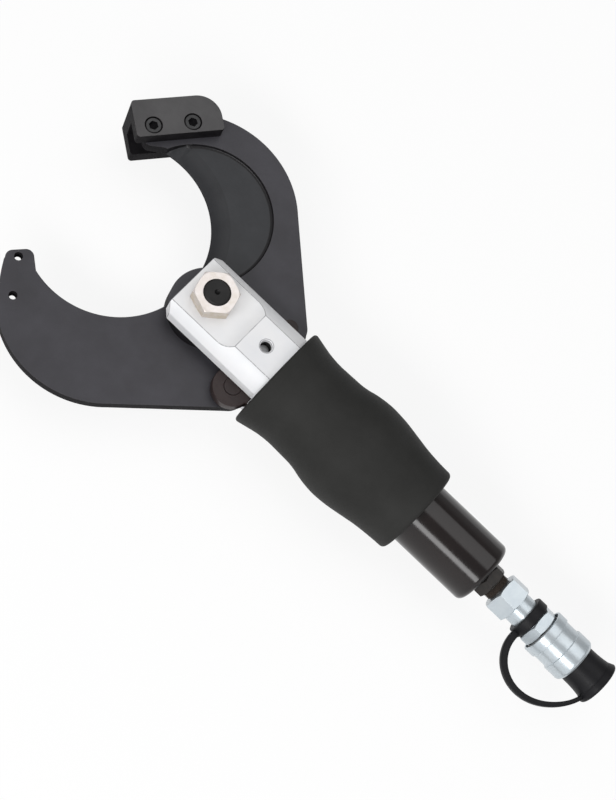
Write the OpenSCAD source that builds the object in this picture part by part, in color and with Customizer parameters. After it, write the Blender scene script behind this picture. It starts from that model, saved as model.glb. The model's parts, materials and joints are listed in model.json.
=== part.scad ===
// Hydraulic cutter head: two hooked blades on a centre bolt, closed by a ram through two links.
// Lengths are in millimetres. The drawing frame has the centre bolt on Z and the ram along X.

/* [Blades] */
// Thickness of one blade
blade_t = 8; // [6:0.5:10]
// Gap between the two blades at the shear plane
shear_gap = 0.1; // [0.05:0.05:0.3]
// Radius of the cutting edge
edge_r = 53.3; // [50:0.1:55]
// Centre of the cutting edge ahead of the centre bolt
edge_ahead = 70; // [66:0.5:72]
// Centre of the cutting edge beside the centre line
edge_beside = 2; // [0:0.5:4]
// Radius of the blade's back
back_r = 61; // [58:0.5:64]
// Centre of the blade's back ahead of the centre bolt
back_ahead = 45; // [43:0.5:47]
// Centre of the blade's back beside the centre line
back_beside = 38.5; // [37:0.5:40]
// Reach of the blade's tip from the centre bolt
tip_reach = 118.3; // [117:0.1:119]
// Radius of the boss round the centre bolt
boss_r = 23.5; // [22:0.5:26]
// Tail pin behind the centre bolt
tail_behind = 42; // [39:0.5:43]
// Tail pin beside the centre line
tail_beside = 25.1; // [23:0.1:26]
// Radius of the blade round its tail pin
tail_r = 10.5; // [9:0.5:11]
// Width of the straight finger at the tip
finger_w = 16.4; // [15:0.1:17]
// Rounding of the finger's corners
finger_round = 4.5; // [2:0.5:6]
// Slope of the finger to the centre line, in degrees
finger_slope = 39.4; // [38:0.2:42]
// Inner corner of the finger inside the tip's reach
finger_set = 14.04; // [13:0.1:15]
// Direction of that corner from the centre line, in degrees
finger_turn = 25.63; // [25:0.1:26.5]
// Radius of the ground relief in the outer face
relief_r = 44; // [40:0.5:46]
// Centre of the relief ahead of the centre bolt
relief_ahead = 41.5; // [40:0.5:43]
// Centre of the relief beside the centre line
relief_beside = 38; // [36:0.5:40]
// Depth of the relief
relief_depth = 2; // [0.8:0.1:2.4]
// Width of the bevel behind the cutting edge
bevel_w = 10.5; // [6:0.5:12]
// Flat land left under the bevel
edge_land = 1.2; // [0.6:0.1:2]

/* [Guide block] */
// Length of the guide block
guide_l = 52.5; // [48:0.5:55]
// Width of the guide block
guide_w = 23; // [20:0.5:24]
// Thickness of each of its two walls
guide_wall = 9.6; // [9:0.1:12.5]
// Slope of its long edge to the centre line, in degrees
guide_slope = 53.3; // [50:0.1:54]
// Its inner front corner inside the blade tip's reach
guide_set = 12.09; // [11:0.1:14]
// Direction of that corner from the centre line, in degrees
guide_turn = 23.23; // [22.5:0.1:24]
// Rounding of its far outer corner
guide_round = 14; // [8:0.5:16]
// Rounding of its other corners
guide_corner = 2; // [1:0.5:3]
// Clearance between the guide and the blade that slides in it
guide_clear = 0.35; // [0.2:0.05:0.6]
// Clearance between the guide's back and the sweeping tip
sweep_clear = 0.6; // [0.4:0.1:1]
// First guide screw from the block's front end
screw_inset = 10.8; // [10:0.1:12]
// Distance between the two guide screws
screw_pitch = 23.6; // [22:0.1:26]
// Guide screws from the block's inner edge
screw_edge = 6.6; // [6.4:0.1:8]
// Diameter of the guide screws
screw_d = 6; // [5:1:6]
// Tapping diameter of their threads in the blade
screw_tap_d = 5; // [4:0.1:5]
// Diameter of a guide screw's head
screw_head_d = 10; // [9:0.5:11]
// Height of a guide screw's head
screw_head_h = 6; // [5:0.5:7]
// Hexagon socket in the head, across the flats
screw_socket = 5; // [4:0.5:5]
// Depth of the socket
screw_socket_depth = 3; // [2:0.5:4]
// Depth of the head below the block's face
screw_sink = 0.4; // [0.2:0.1:1]

/* [Centre bolt] */
// Diameter of the centre bolt
bolt_d = 16; // [12:1:16]
// Hexagon of its head and nut, across the flats
bolt_hex = 24; // [22:1:26]
// Height of the bolt's head
bolt_head_h = 10; // [8:0.5:11]
// Height of the nut
nut_h = 10.3; // [8:0.1:11]
// Turn of the tightened nut from having a flat square to the ram
nut_turn = 12; // [0:1:30]
// Length of bolt that stands out of the nut
bolt_stand = 0.7; // [0.2:0.1:1.5]
// Wall of the bush round the bolt
bush_wall = 2; // [1.5:0.5:3]
// Diameter of the centre mark in the bolt's end
centre_mark_d = 3.5; // [2:0.5:5]
// Chamfer on the bolt's end, and depth of its centre mark
bolt_chamfer = 1.2; // [0.6:0.1:1.6]

/* [Yoke] */
// Radius of the turned yoke
yoke_r = 28.3; // [28:0.1:29]
// Front of the yoke ahead of the centre bolt
yoke_ahead = 16.2; // [15:0.1:18]
// Height of the front flats above the centre line
front_flat = 22.2; // [21.5:0.1:22.4]
// Height of the rear flats above the centre line
rear_flat = 25; // [24.5:0.1:26]
// Half width across the side flats
side_flat = 23; // [22.5:0.1:25]
// End of the front flats behind the centre bolt
flat_behind = 18.6; // [17:0.1:20]
// Radius of the cutter that ends the front flats
flat_cutter_r = 16.8; // [12:0.2:18]
// Chamfer on the front corners
yoke_chamfer = 4; // [2:0.5:5]
// End of the blade slot behind the centre bolt
slot_behind = 72; // [71:0.5:74]
// Clearance of the blades in the slot
slot_clear = 0.15; // [0.1:0.05:0.3]
// Radius of the yoke's neck inside the grip
neck_r = 24.8; // [24.3:0.1:25.5]
// Radius of the chamber for the ram's fork
fork_room_r = 15.5; // [15:0.1:16]
// Half width of the chamber for the links
link_room = 21; // [20:0.5:22]
// Accessory thread behind the centre bolt
accessory_behind = 40.4; // [38:0.1:43]
// Tapping diameter of the accessory thread
accessory_d = 6.8; // [5:0.1:7]
// Depth of the accessory thread
accessory_depth = 8; // [6:0.5:8]
// Diameter of the accessory thread's countersink
accessory_mouth = 8.4; // [8:0.1:9]

/* [Links] */
// Length of a link between its pins
link_l = 60; // [59:0.5:63]
// Radius of the link's round end at the tail pin
link_eye_r = 12; // [10:0.5:12]
// Width of the link between its ends
link_w = 14; // [12:0.5:15]
// Diameter of the tail pins and the ram pin
pin_d = 10; // [9:0.5:11]
// Turn of each blade from open to closed, in degrees
closing_turn = 52; // [48:0.5:53]
// Side clearance of a link
link_clear = 0.25; // [0.15:0.05:0.4]
// Free play of the ram pin in the link's rear eye
eye_play = 1; // [0.9:0.05:1.3]
// Wall round the rear eye
eye_wall = 4; // [3:0.5:5]

/* [Ram] */
// Radius of the ram's fork
fork_r = 14.5; // [14:0.1:14.8]
// Clearance of the links in the fork
fork_clear = 0.3; // [0.2:0.05:0.5]
// Front of the fork ahead of the ram pin
fork_nose = 10; // [8:0.5:11]
// Depth of the fork's slot behind the ram pin
fork_slot = 15; // [14.5:0.5:16]
// Length of the fork's hub
fork_hub = 5.5; // [5:0.5:7]
// Radius of the piston rod
rod_r = 9; // [8:0.5:10]
// Radius of the rod's thread in the fork
rod_thread_r = 7; // [5:0.5:7.5]
// Radius of the rod's spigot through the piston
rod_spigot_r = 6; // [5:0.5:7]
// Radius of the cylinder's bore
bore_r = 16; // [15.5:0.1:16.5]
// Length of the piston
piston_l = 14; // [13:0.5:16]
// Depth of the nut's recess in the piston
piston_recess = 6.5; // [6:0.5:7]
// Height of the piston nut
piston_nut_h = 6; // [5:0.5:6]
// Hexagon of the piston nut, across the flats
piston_nut_hex = 17; // [16:0.5:19]
// Width of the piston seal
seal_w = 3.2; // [2:0.1:3.4]
// Width of the piston's wear ring
wear_ring_w = 3; // [2:0.1:3.2]
// Depth of the two ring grooves
ring_depth = 2.4; // [1.5:0.1:3]
// Front land of the piston ahead of the seal
piston_land = 1.8; // [1:0.1:2]
// Length of the rod gland
gland_l = 12; // [10:0.5:13]
// Width of the rod wiper
wiper_w = 3; // [2:0.5:4]
// Wall of the rod wiper
wiper_wall = 2.8; // [2:0.1:4]
// Free space between the piston and the cylinder's end
piston_rest_gap = 0.4; // [0.2:0.1:0.8]
// Wire diameter of the return spring
return_wire = 2; // [1.6:0.1:2.1]
// Turns of the return spring
return_turns = 6; // [4:1:6]
// Mean radius of the return spring
return_coil_r = 11.6; // [11.2:0.1:13]

/* [Cylinder and grip] */
// Outer radius of the cylinder
tube_r = 20.5; // [20.4:0.1:21]
// End of the cylinder behind the centre bolt
tube_behind = 221.4; // [221:0.2:226]
// Thickness of the cylinder's end wall
tube_end = 7; // [6:0.5:8]
// Rounding of the cylinder's end edge
tube_round = 3.5; // [2:0.5:5]
// Length of cylinder held in the yoke
tube_engage = 16.5; // [12:0.5:20]
// Front of the grip behind the centre bolt
grip_front = 55; // [54.6:0.1:56]
// Rear of the grip behind the centre bolt
grip_rear = 168.5; // [165:0.5:180]
// Radius of the grip's front flange
flange_r = 34.5; // [33.5:0.1:36]
// Radius of the grip's waist
waist_r = 30.5; // [29.5:0.1:32]
// Waist behind the front of the grip
waist_at = 32; // [28:0.5:36]
// Radius of the grip's swell
swell_r = 34.2; // [33:0.1:34.5]
// Swell behind the front of the grip
swell_at = 60; // [55:0.5:65]
// Radius of the grip's rear end
grip_rear_r = 29; // [27:0.1:31]
// Rounding of the grip's end edges
grip_round = 2.5; // [1:0.5:3]
// Half width of the grip's pockets for the links
grip_pocket = 30.6; // [30.3:0.1:31]
// Length of the grip's pockets
grip_pocket_l = 9; // [7:0.5:10]

/* [Inlet] */
// Thickness of the seal under the adapter
adapter_seal_t = 1.2; // [0.8:0.1:2]
// Hexagon of the inlet adapter, across the flats
adapter_hex = 19; // [17:0.5:20]
// Length of the adapter's hexagon
adapter_hex_l = 6.4; // [5:0.2:8]
// Length of neck that shows behind the hexagon
adapter_neck_l = 5; // [3:0.5:7]
// Radius of the adapter's neck
adapter_neck_r = 7.6; // [7:0.1:8]
// Length of neck held in the coupler
adapter_engage = 9; // [6:0.5:10]
// Radius of the adapter's spigot in the cylinder
adapter_spigot_r = 6.5; // [5:0.5:7]
// Radius of the oil way
oil_r = 3; // [2:0.5:3.5]

/* [Coupler] */
// Hexagon of the coupler, across the flats
coupler_hex = 22.4; // [22:0.2:22.6]
// Length of the rear hexagon
rear_hex_l = 12.7; // [11:0.1:14]
// Length of the plain barrel behind it
rear_barrel_l = 14.3; // [13:0.1:16]
// Radius of the plain barrel
rear_barrel_r = 9.5; // [9:0.1:10.5]
// Length of the thread between the two halves
half_thread_l = 4; // [3:0.5:5]
// Radius of the thread between the two halves
half_thread_r = 8; // [7.5:0.1:8.2]
// Length of the front hexagon
front_hex_l = 6.4; // [5.5:0.1:7]
// Length of the body from the front hexagon to its mouth
front_barrel_l = 26; // [26:0.1:28]
// Radius of the body inside the sleeve's spring
spring_barrel_r = 10; // [9.7:0.1:10.1]
// Radius of the body inside the sleeve's land
land_barrel_r = 11.3; // [11.2:0.05:11.5]
// Length of the narrow barrel
spring_barrel_l = 11.6; // [11:0.1:12]
// Radius of the poppet's chamber
chamber_r = 7; // [6.8:0.1:7.2]
// Radius of the poppet's seat
seat_r = 6.2; // [6:0.1:6.4]
// Length of the seat
seat_l = 4; // [3:0.5:5]
// Front hexagon to the poppet's seat
seat_from_hex = 6.6; // [6:0.1:7]
// Radius of the socket for the mating half
socket_r = 8.2; // [8:0.05:8.3]
// Length of the socket
socket_l = 10; // [9:0.5:10]
// Radius of the socket's entry
entry_r = 9.2; // [9:0.05:9.3]
// Section diameter of the socket seal
socket_seal_d = 1.4; // [1:0.1:1.5]
// Groove of the socket seal behind the start of the body's land
seal_set = 2; // [1:0.1:2.5]
// Outer radius of the sleeve
sleeve_r = 14.55; // [14.4:0.05:15.5]
// Depth of the grip band on the sleeve
sleeve_band = 0.9; // [0.4:0.1:1]
// Length of the sleeve's rear ring
sleeve_ring_l = 6.4; // [5:0.2:8]
// Length of the grip band
sleeve_band_l = 9.2; // [7:0.2:10]
// Length of the sleeve
sleeve_l = 26.6; // [26.2:0.1:28]
// Chamfer on the sleeve's front
sleeve_chamfer = 1.6; // [0.5:0.1:1.8]
// Radius of the room inside the sleeve
sleeve_room_r = 13.2; // [13.15:0.05:13.4]
// Travel of the sleeve
sleeve_travel = 5; // [4:0.5:5.5]
// Gap between the front hexagon and the sleeve
sleeve_gap = 0.5; // [0.3:0.1:0.8]
// Wire diameter of the sleeve spring
sleeve_wire = 1; // [0.8:0.1:1.1]
// Turns of the sleeve spring
sleeve_turns = 5; // [3:1:5]
// Number of locking balls
ball_count = 6; // [4:1:8]
// Diameter of a locking ball
ball_d = 2.8; // [2.4:0.1:2.9]
// Thickness of the retaining ring
ring_t = 0.8; // [0.6:0.1:1]
// Depth of the retaining ring's groove
ring_groove = 0.7; // [0.5:0.1:0.8]
// Height of the retaining ring above the body
ring_stand = 0.9; // [0.6:0.1:1]
// Sleeve's front stop behind the body's mouth
stop_set = 1.9; // [1.8:0.1:2]
// Travel of the poppet
poppet_travel = 4; // [3:0.5:4]
// Thickness of the poppet's flange
poppet_flange_t = 2; // [1.5:0.1:2.4]
// Wire diameter of the poppet spring
poppet_wire = 0.5; // [0.4:0.1:0.6]
// Turns of the poppet spring
poppet_turns = 4; // [3:1:4]

/* [Dust cap] */
// Radius of the dust cap
cap_r = 12.2; // [11.5:0.1:12.2]
// Length of the dust cap
cap_l = 20.2; // [18:0.2:24]
// Radius of the cap's plug
plug_r = 8.1; // [7.8:0.1:8.2]
// Length of the cap's plug
plug_l = 5; // [4:0.5:5]
// Width of the strap's ring on the cap
cap_ring_w = 3.6; // [3:0.2:5]
// Outer radius of the strap's ring on the cap
cap_ring_r = 14.5; // [13:0.1:15]
// Depth of the ring's groove in the cap
cap_groove = 1.6; // [1:0.1:2.5]
// End rim of the cap behind its groove
cap_rim_l = 2; // [1.5:0.1:3]
// Width of the strap's ring on the coupler
strap_ring_w = 6.5; // [5:0.1:7]
// Outer radius of the strap's ring on the coupler
strap_ring_r = 12.6; // [12:0.1:13]
// Width of the strap
strap_w = 3.8; // [3:0.2:5]
// Thickness of the strap
strap_t = 3.8; // [2.5:0.1:4.5]
// Sag of the strap below its two ends
strap_sag = 23; // [18:0.5:26]

/* [Hidden] */
$fn = 96;
// Small overlap that keeps cuts clean
eps = 0.01;
// Radial clearance of turning and sliding fits
run_fit = 0.05;
// Radial clearance of seated pieces
seat_fit = 0.05;
// Length of a cut that passes right through
past = 400;
// Overrun of a cut past the face that it opens
over = 1;
// Depth of a web's edges inside the discs that it joins
tuck = 0.05;
// Room round a screw's shank, a screw's head and a sunk nut
shank_clear = 0.2;
head_clear = 0.3;
nut_clear = 0.4;
// Rest gaps behind the fork and under the dust cap, and the fork's run-out when closed
fork_rest_gap = 0.5;
cap_rest_gap = 0.4;
fork_run_out = 1.5;
// Chamfer that turns the corners off a hexagon
hex_bite = 0.8;
// Inset of a pin's end below the piece that holds it
pin_inset = 0.7;
// Side play of a ring in its groove
ring_play = 0.1;
// Steps of a rounded or eased outline
ease_steps = 8;
// Sides of a spring's wire, and rings in one of its turns
wire_sides = 6;
turn_rings = 8;

// Centre of the cutting edge, the back, the relief and the tail pin, for the upper blade
edge_centre = [-edge_ahead, edge_beside];
back_centre = [-back_ahead, back_beside];
relief_centre = [-relief_ahead, relief_beside];
tail_centre = [tail_behind, tail_beside];
bush_r = bolt_d / 2 + bush_wall;
pin_r = pin_d / 2;
slot_half = blade_t + slot_clear;
blade_low = shear_gap / 2;
relief_face = blade_t - relief_depth;

// The guide block's frame: its inner front corner, along and out
guide_corner_at = (tip_reach - guide_set) * direction(180 - guide_turn);
guide_along = direction(guide_slope);
guide_out = direction(guide_slope + 90);
function guide_point(along, out) = guide_corner_at + along * guide_along + out * guide_out;
screw_places = [for (i = [0, 1]) guide_point(screw_inset + i * screw_pitch, screw_edge)];
guide_low = blade_t + guide_clear;
guide_face = blade_t + guide_wall;
screw_seat = guide_face - screw_head_h - screw_sink;
thread_r = screw_tap_d / 2;

// The linkage at the open and the closed end of the stroke
tail_reach = norm(tail_centre);
tail_turn = atan2(tail_beside, tail_behind);
function direction(angle) = [cos(angle), sin(angle)];
function tail_at(part) = tail_reach * direction(tail_turn + part * closing_turn);
function ram_pin_for(tail) = tail[0] + sqrt(pow(link_l, 2) - pow(tail[1], 2));
function slope_for(tail) = -asin(tail[1] / link_l);
open_pin = ram_pin_for(tail_at(0));
closed_pin = ram_pin_for(tail_at(1));
stroke = open_pin - closed_pin;
open_slope = slope_for(tail_at(0));
closed_slope = slope_for(tail_at(1));
// Where the ram pin lies in the rear eye halfway through the stroke, in the link's own frame
half_slope = (open_slope + closed_slope) / 2;
half_tail = tail_at(0.5);
half_miss = [open_pin - stroke / 2, 0] - half_tail - link_l * direction(half_slope);
eye_shift = [
    cos(half_slope) * half_miss[0] + sin(half_slope) * half_miss[1],
    -sin(half_slope) * half_miss[0] + cos(half_slope) * half_miss[1]
];
eye_r = pin_r + eye_play;

// Stations along the ram
fork_rear = open_pin + fork_slot + fork_hub;
gland_front = fork_rear + fork_rest_gap;
gland_rear = gland_front + gland_l;
yoke_rear = gland_rear + tube_engage;
chamber_rear = tube_behind - tube_end;
piston_rear = chamber_rear - piston_rest_gap;
piston_front = piston_rear - piston_l;
fork_room_front = closed_pin - fork_nose - fork_run_out;

// Stations along the inlet and the coupler
adapter_front = tube_behind + adapter_seal_t;
neck_front = adapter_front + adapter_hex_l;
coupler_front = neck_front + adapter_neck_l;
barrel_front = coupler_front + rear_hex_l;
half_joint = barrel_front + rear_barrel_l;
spring_seat = half_joint + front_hex_l;
body_mouth = spring_seat + front_barrel_l;
land_front = spring_seat + spring_barrel_l;
seat_front = spring_seat + seat_from_hex;
socket_front = seat_front + seat_l;
entry_front = socket_front + socket_l;
sleeve_front = spring_seat + sleeve_gap;
sleeve_rear = sleeve_front + sleeve_l;
seal_at = land_front + seal_set;
seal_groove_r = socket_r + socket_seal_d + ring_play;
seal_groove_w = socket_seal_d + 6 * ring_play;
sleeve_stop = body_mouth - stop_set;
ring_at = sleeve_stop + ring_play;
ball_at = (entry_front + sleeve_stop) / 2;
ball_centre_r = land_barrel_r - ball_d / 2;

// Stations along the dust cap and its strap
strap_ring_gap = 0.5;
strap_root = 0.6;
cap_front = body_mouth + cap_rest_gap;
cap_rear = cap_front + cap_l;
cap_ring_at = cap_rear - cap_rim_l - cap_ring_w;
strap_ring_at = half_joint - strap_ring_w - strap_ring_gap;
strap_front = strap_ring_at + strap_ring_w / 2;
strap_rear = cap_ring_at + cap_ring_w / 2;
strap_half = (strap_rear - strap_front) / 2;
strap_start = strap_ring_r - strap_root;
strap_r = (pow(strap_half, 2) + pow(strap_sag, 2)) / (2 * strap_sag);
strap_centre = [strap_front + strap_half, -strap_start - strap_sag + strap_r];
strap_arc = 2 * asin(strap_half / strap_r);

// Overall frame: middle of the length, and the height of the centre line above the ground
block_front = guide_point(guide_corner, guide_w - guide_corner)[0] - guide_corner;
middle_x = (block_front + cap_rear) / 2;
axis_height = flange_r;

// Shared shapes

// Moves the drawing frame to the part's own origin
module placed() {
    translate([-middle_x, 0, axis_height]) children();
}

// Turns a shape drawn up Z to lie along X from the given station
module along_x(station) {
    translate([station, 0, 0]) rotate([0, 90, 0]) children();
}

// Ring along X from one station to another
module ring_x(from, to, outer, inner) {
    along_x(from) difference() {
        cylinder(r = outer, h = to - from);
        translate([0, 0, -eps]) cylinder(r = inner, h = to - from + 2 * eps);
    }
}

// Cut along X from one station to another
module bore_x(from, to, r) {
    along_x(from) cylinder(r = r, h = to - from);
}

// Hexagon across the flats, with a flat facing X
module hexagon(flats) {
    rotate(30) circle(d = flats / cos(30), $fn = 6);
}

// Hexagon prism with its corners turned off at both ends
module turned_hex(flats, h) {
    corner = flats / cos(30) / 2;
    end_r = corner - 2 * hex_bite;
    intersection() {
        linear_extrude(h) hexagon(flats);
        union() {
            cylinder(r1 = end_r, r2 = corner, h = hex_bite + eps);
            translate([0, 0, hex_bite]) cylinder(r = corner, h = h - 2 * hex_bite);
            translate([0, 0, h - hex_bite - eps]) cylinder(r1 = corner, r2 = end_r, h = hex_bite + eps);
        }
    }
}

// Web between two discs, along their outer tangents and a hair inside both
module tangent_web(a, ra, b, rb) {
    gap = b - a;
    heading = atan2(gap[1], gap[0]);
    lean = acos((ra - rb) / norm(gap));
    polygon([for (end = [[a, ra, 1], [b, rb, 1], [b, rb, -1], [a, ra, -1]])
        end[0] + (end[1] - tuck) * direction(heading + end[2] * lean)]);
}

// Rectangle from the origin with rounded corners
module rounded_rect(l, w, r) {
    translate([r, 0]) square([l - 2 * r, w]);
    translate([0, r]) square([l, w - 2 * r]);
    for (x = [r, l - r]) for (y = [r, w - r]) translate([x, y]) circle(r = r);
}

// Round wire wound into an open coil up Z, as one unbroken tube of triangles
module coil(mean_r, wire, turns, h) {
    rise = h - wire;
    count = turns * turn_rings;
    ring = [for (s = [0:wire_sides - 1]) 360 * s / wire_sides];
    points = [for (i = [0:count]) for (a = ring)
        let (turn = 360 * i / turn_rings, r = mean_r + wire / 2 * cos(a))
        [r * cos(turn), r * sin(turn), wire / 2 + rise * i / count + wire / 2 * sin(a)]];
    function spot(i, s) = i * wire_sides + s % wire_sides;
    sides = [for (i = [0:count - 1]) for (s = [0:wire_sides - 1]) for (half = [0, 1])
        half == 0
            ? [spot(i, s), spot(i + 1, s), spot(i + 1, s + 1)]
            : [spot(i, s), spot(i + 1, s + 1), spot(i, s + 1)]];
    first = [for (s = [1:wire_sides - 2]) [0, s, s + 1]];
    last = [for (s = [1:wire_sides - 2]) [spot(count, 0), spot(count, s + 1), spot(count, s)]];
    polyhedron(points, concat(first, last, sides));
}

// Quarter of a circle's points, turned by a start angle
function corner_arc(centre, r, start) = [for (k = [0:ease_steps])
    centre + r * direction(start + 90 * k / ease_steps)];

// Blades

// Plate of the upper blade: hooked back, boss, tail and finger, before it is ground
module blade_plate(h) {
    intersection() {
        difference() {
            union() {
                translate(back_centre) cylinder(r = back_r, h = h);
                linear_extrude(h) tangent_web(back_centre, back_r, tail_centre, tail_r);
            }
            translate([edge_centre[0], edge_centre[1], -over]) cylinder(r = edge_r, h = h + 2 * over);
            translate([0, 0, -over]) linear_extrude(h + 2 * over) finger_end_cut();
            // The hook ends inside the boss, on its own side of the bolt
            translate([-past - boss_r / 2, -past - boss_r / 2, -over]) cube([past, past, h + 2 * over]);
        }
        cylinder(r = tip_reach, h = h);
    }
    translate(tail_centre) cylinder(r = tail_r, h = h);
    cylinder(r = boss_r, h = h);
    linear_extrude(h) tangent_web([0, 0], boss_r, tail_centre, tail_r);
    intersection() {
        linear_extrude(h) finger_outline();
        cylinder(r = tip_reach, h = h);
    }
}

// Places a shape in the finger's frame: X runs back from the tip, Y runs outwards
module on_finger() {
    translate((tip_reach - finger_set) * direction(180 - finger_turn)) rotate(finger_slope) children();
}

// Straight finger at the blade's tip
module finger_outline() {
    on_finger() rounded_rect(2 * finger_w, finger_w, finger_round);
}

// Everything beyond the rounding of the finger's end
module finger_end_cut() {
    on_finger() translate([finger_round - past, -past]) square([past, 2 * past]);
}

// Ground relief and bevel that leave the cutting edge, cut from the outer face
module blade_grind() {
    bevel_h = relief_face - edge_land;
    difference() {
        intersection() {
            translate([relief_centre[0], relief_centre[1], 0]) cylinder(r = relief_r, h = blade_t + over);
            union() {
                translate([0, 0, relief_face]) cylinder(r = past, h = blade_t);
                translate([edge_centre[0], edge_centre[1], edge_land])
                    cylinder(r1 = edge_r, r2 = edge_r + bevel_w, h = bevel_h + eps);
            }
        }
        translate([0, 0, -over]) cylinder(r = boss_r + run_fit, h = blade_t + 2 * over);
    }
}

// Upper blade, or half of the pair
module blade() {
    difference() {
        translate([0, 0, blade_low]) blade_plate(blade_t - blade_low);
        blade_grind();
        translate([0, 0, -over]) cylinder(r = bush_r + run_fit, h = blade_t + 2 * over);
        translate([tail_behind, tail_beside, -over])
            cylinder(r = pin_r + seat_fit, h = blade_t + 2 * over);
        for (place = screw_places)
            translate([place[0], place[1], -over]) cylinder(r = thread_r, h = blade_t + 2 * over);
    }
}

// The lower blade is the upper one turned half round the ram's axis
module turned_over() {
    rotate([180, 0, 0]) children();
}

module upper_blade() {
    color("#4a474b") placed() blade();
}

module lower_blade() {
    color("#4a474b") placed() turned_over() blade();
}

// Pin through a blade's tail and its link
module tail_pin() {
    translate([tail_behind, tail_beside, link_clear - blade_t])
        cylinder(r = pin_r, h = 2 * blade_t - link_clear);
}

module upper_tail_pin() {
    color("#8d8a86") placed() tail_pin();
}

module lower_tail_pin() {
    color("#8d8a86") placed() turned_over() tail_pin();
}

// Links

// Sideways slot of the link's rear eye, in the link's own frame
module rear_eye(r, h) {
    rear = [link_l, 0];
    translate(rear) cylinder(r = r, h = h);
    translate(rear + eye_shift) cylinder(r = r, h = h);
    linear_extrude(h) tangent_web(rear, r, rear + eye_shift, r);
}

// Link from the upper blade's tail to the ram pin, under the blade
module link() {
    link_t = blade_t - 2 * link_clear;
    translate([tail_behind, tail_beside, link_clear - blade_t]) rotate(open_slope) difference() {
        union() {
            cylinder(r = link_eye_r, h = link_t);
            translate([0, -link_w / 2, 0]) cube([link_l, link_w, link_t]);
            rear_eye(eye_r + eye_wall, link_t);
        }
        translate([0, 0, -over]) cylinder(r = pin_r + run_fit, h = link_t + 2 * over);
        translate([0, 0, -over]) rear_eye(eye_r, link_t + 2 * over);
    }
}

module upper_link() {
    color("#6b5650") placed() link();
}

module lower_link() {
    color("#6b5650") placed() turned_over() link();
}

// Guide block

// Places a plan shape in the guide block's frame
module on_guide() {
    translate(guide_corner_at) rotate(guide_slope) children();
}

// Plan of the guide block, with one large rounded corner
module guide_outline() {
    on_guide() difference() {
        rounded_rect(guide_l, guide_w, guide_corner);
        difference() {
            translate([guide_l - guide_round, guide_w - guide_round]) square(guide_round + over);
            translate([guide_l - guide_round, guide_w - guide_round]) circle(r = guide_round);
        }
    }
}

module guide_block() {
    sweep_r = tip_reach + sweep_clear;
    rear_face = guide_low + guide_wall;
    color("#504e4e") placed() difference() {
        translate([0, 0, -rear_face]) linear_extrude(rear_face + guide_face) guide_outline();
        translate([0, 0, -guide_low]) cylinder(r = sweep_r, h = guide_low + blade_t);
        for (place = screw_places) translate([place[0], place[1], 0]) {
            cylinder(r = screw_d / 2 + shank_clear, h = past);
            translate([0, 0, screw_seat]) cylinder(r = screw_head_d / 2 + head_clear, h = past);
        }
    }
}

module guide_screws() {
    color("#2f2f30") placed() for (place = screw_places) translate([place[0], place[1], 0]) difference() {
        union() {
            translate([0, 0, over]) cylinder(r = thread_r - seat_fit, h = blade_t);
            translate([0, 0, blade_t]) cylinder(r = screw_d / 2, h = screw_seat - blade_t + eps);
            translate([0, 0, screw_seat]) cylinder(r = screw_head_d / 2, h = screw_head_h);
        }
        translate([0, 0, screw_seat + screw_head_h - screw_socket_depth])
            linear_extrude(screw_socket_depth + over) hexagon(screw_socket);
    }
}

// Centre bolt

module pivot_bush() {
    color("#b08d4a") placed() translate([0, 0, -blade_t]) difference() {
        cylinder(r = bush_r, h = 2 * blade_t);
        translate([0, 0, -over]) cylinder(r = bolt_d / 2 + seat_fit, h = 2 * (blade_t + over));
    }
}

module centre_bolt() {
    top = front_flat + nut_h + bolt_stand;
    shoulder = top - bolt_chamfer;
    color("#3e3e3e") placed() difference() {
        union() {
            translate([0, 0, -front_flat - bolt_head_h]) turned_hex(bolt_hex, bolt_head_h);
            translate([0, 0, -front_flat - eps]) cylinder(d = bolt_d, h = front_flat + shoulder + eps);
            translate([0, 0, shoulder])
                cylinder(d1 = bolt_d, d2 = bolt_d - 2 * bolt_chamfer, h = bolt_chamfer);
        }
        translate([0, 0, shoulder])
            cylinder(d1 = centre_mark_d / 6, d2 = centre_mark_d, h = bolt_chamfer + eps);
    }
}

module centre_nut() {
    color("#d9cfc4") placed() translate([0, 0, front_flat]) difference() {
        rotate(nut_turn) turned_hex(bolt_hex, nut_h);
        translate([0, 0, -over]) cylinder(d = bolt_d + 2 * seat_fit, h = nut_h + 2 * over);
    }
}

// Yoke

// Cut that leaves one front flat at the given height, ended by a round cutter
module flat_cut(height) {
    translate([-past, -past / 2, height]) cube([past + flat_behind, past, past]);
    translate([flat_behind, past / 2, height + flat_cutter_r])
        rotate([90, 0, 0]) cylinder(r = flat_cutter_r, h = past);
}

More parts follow.
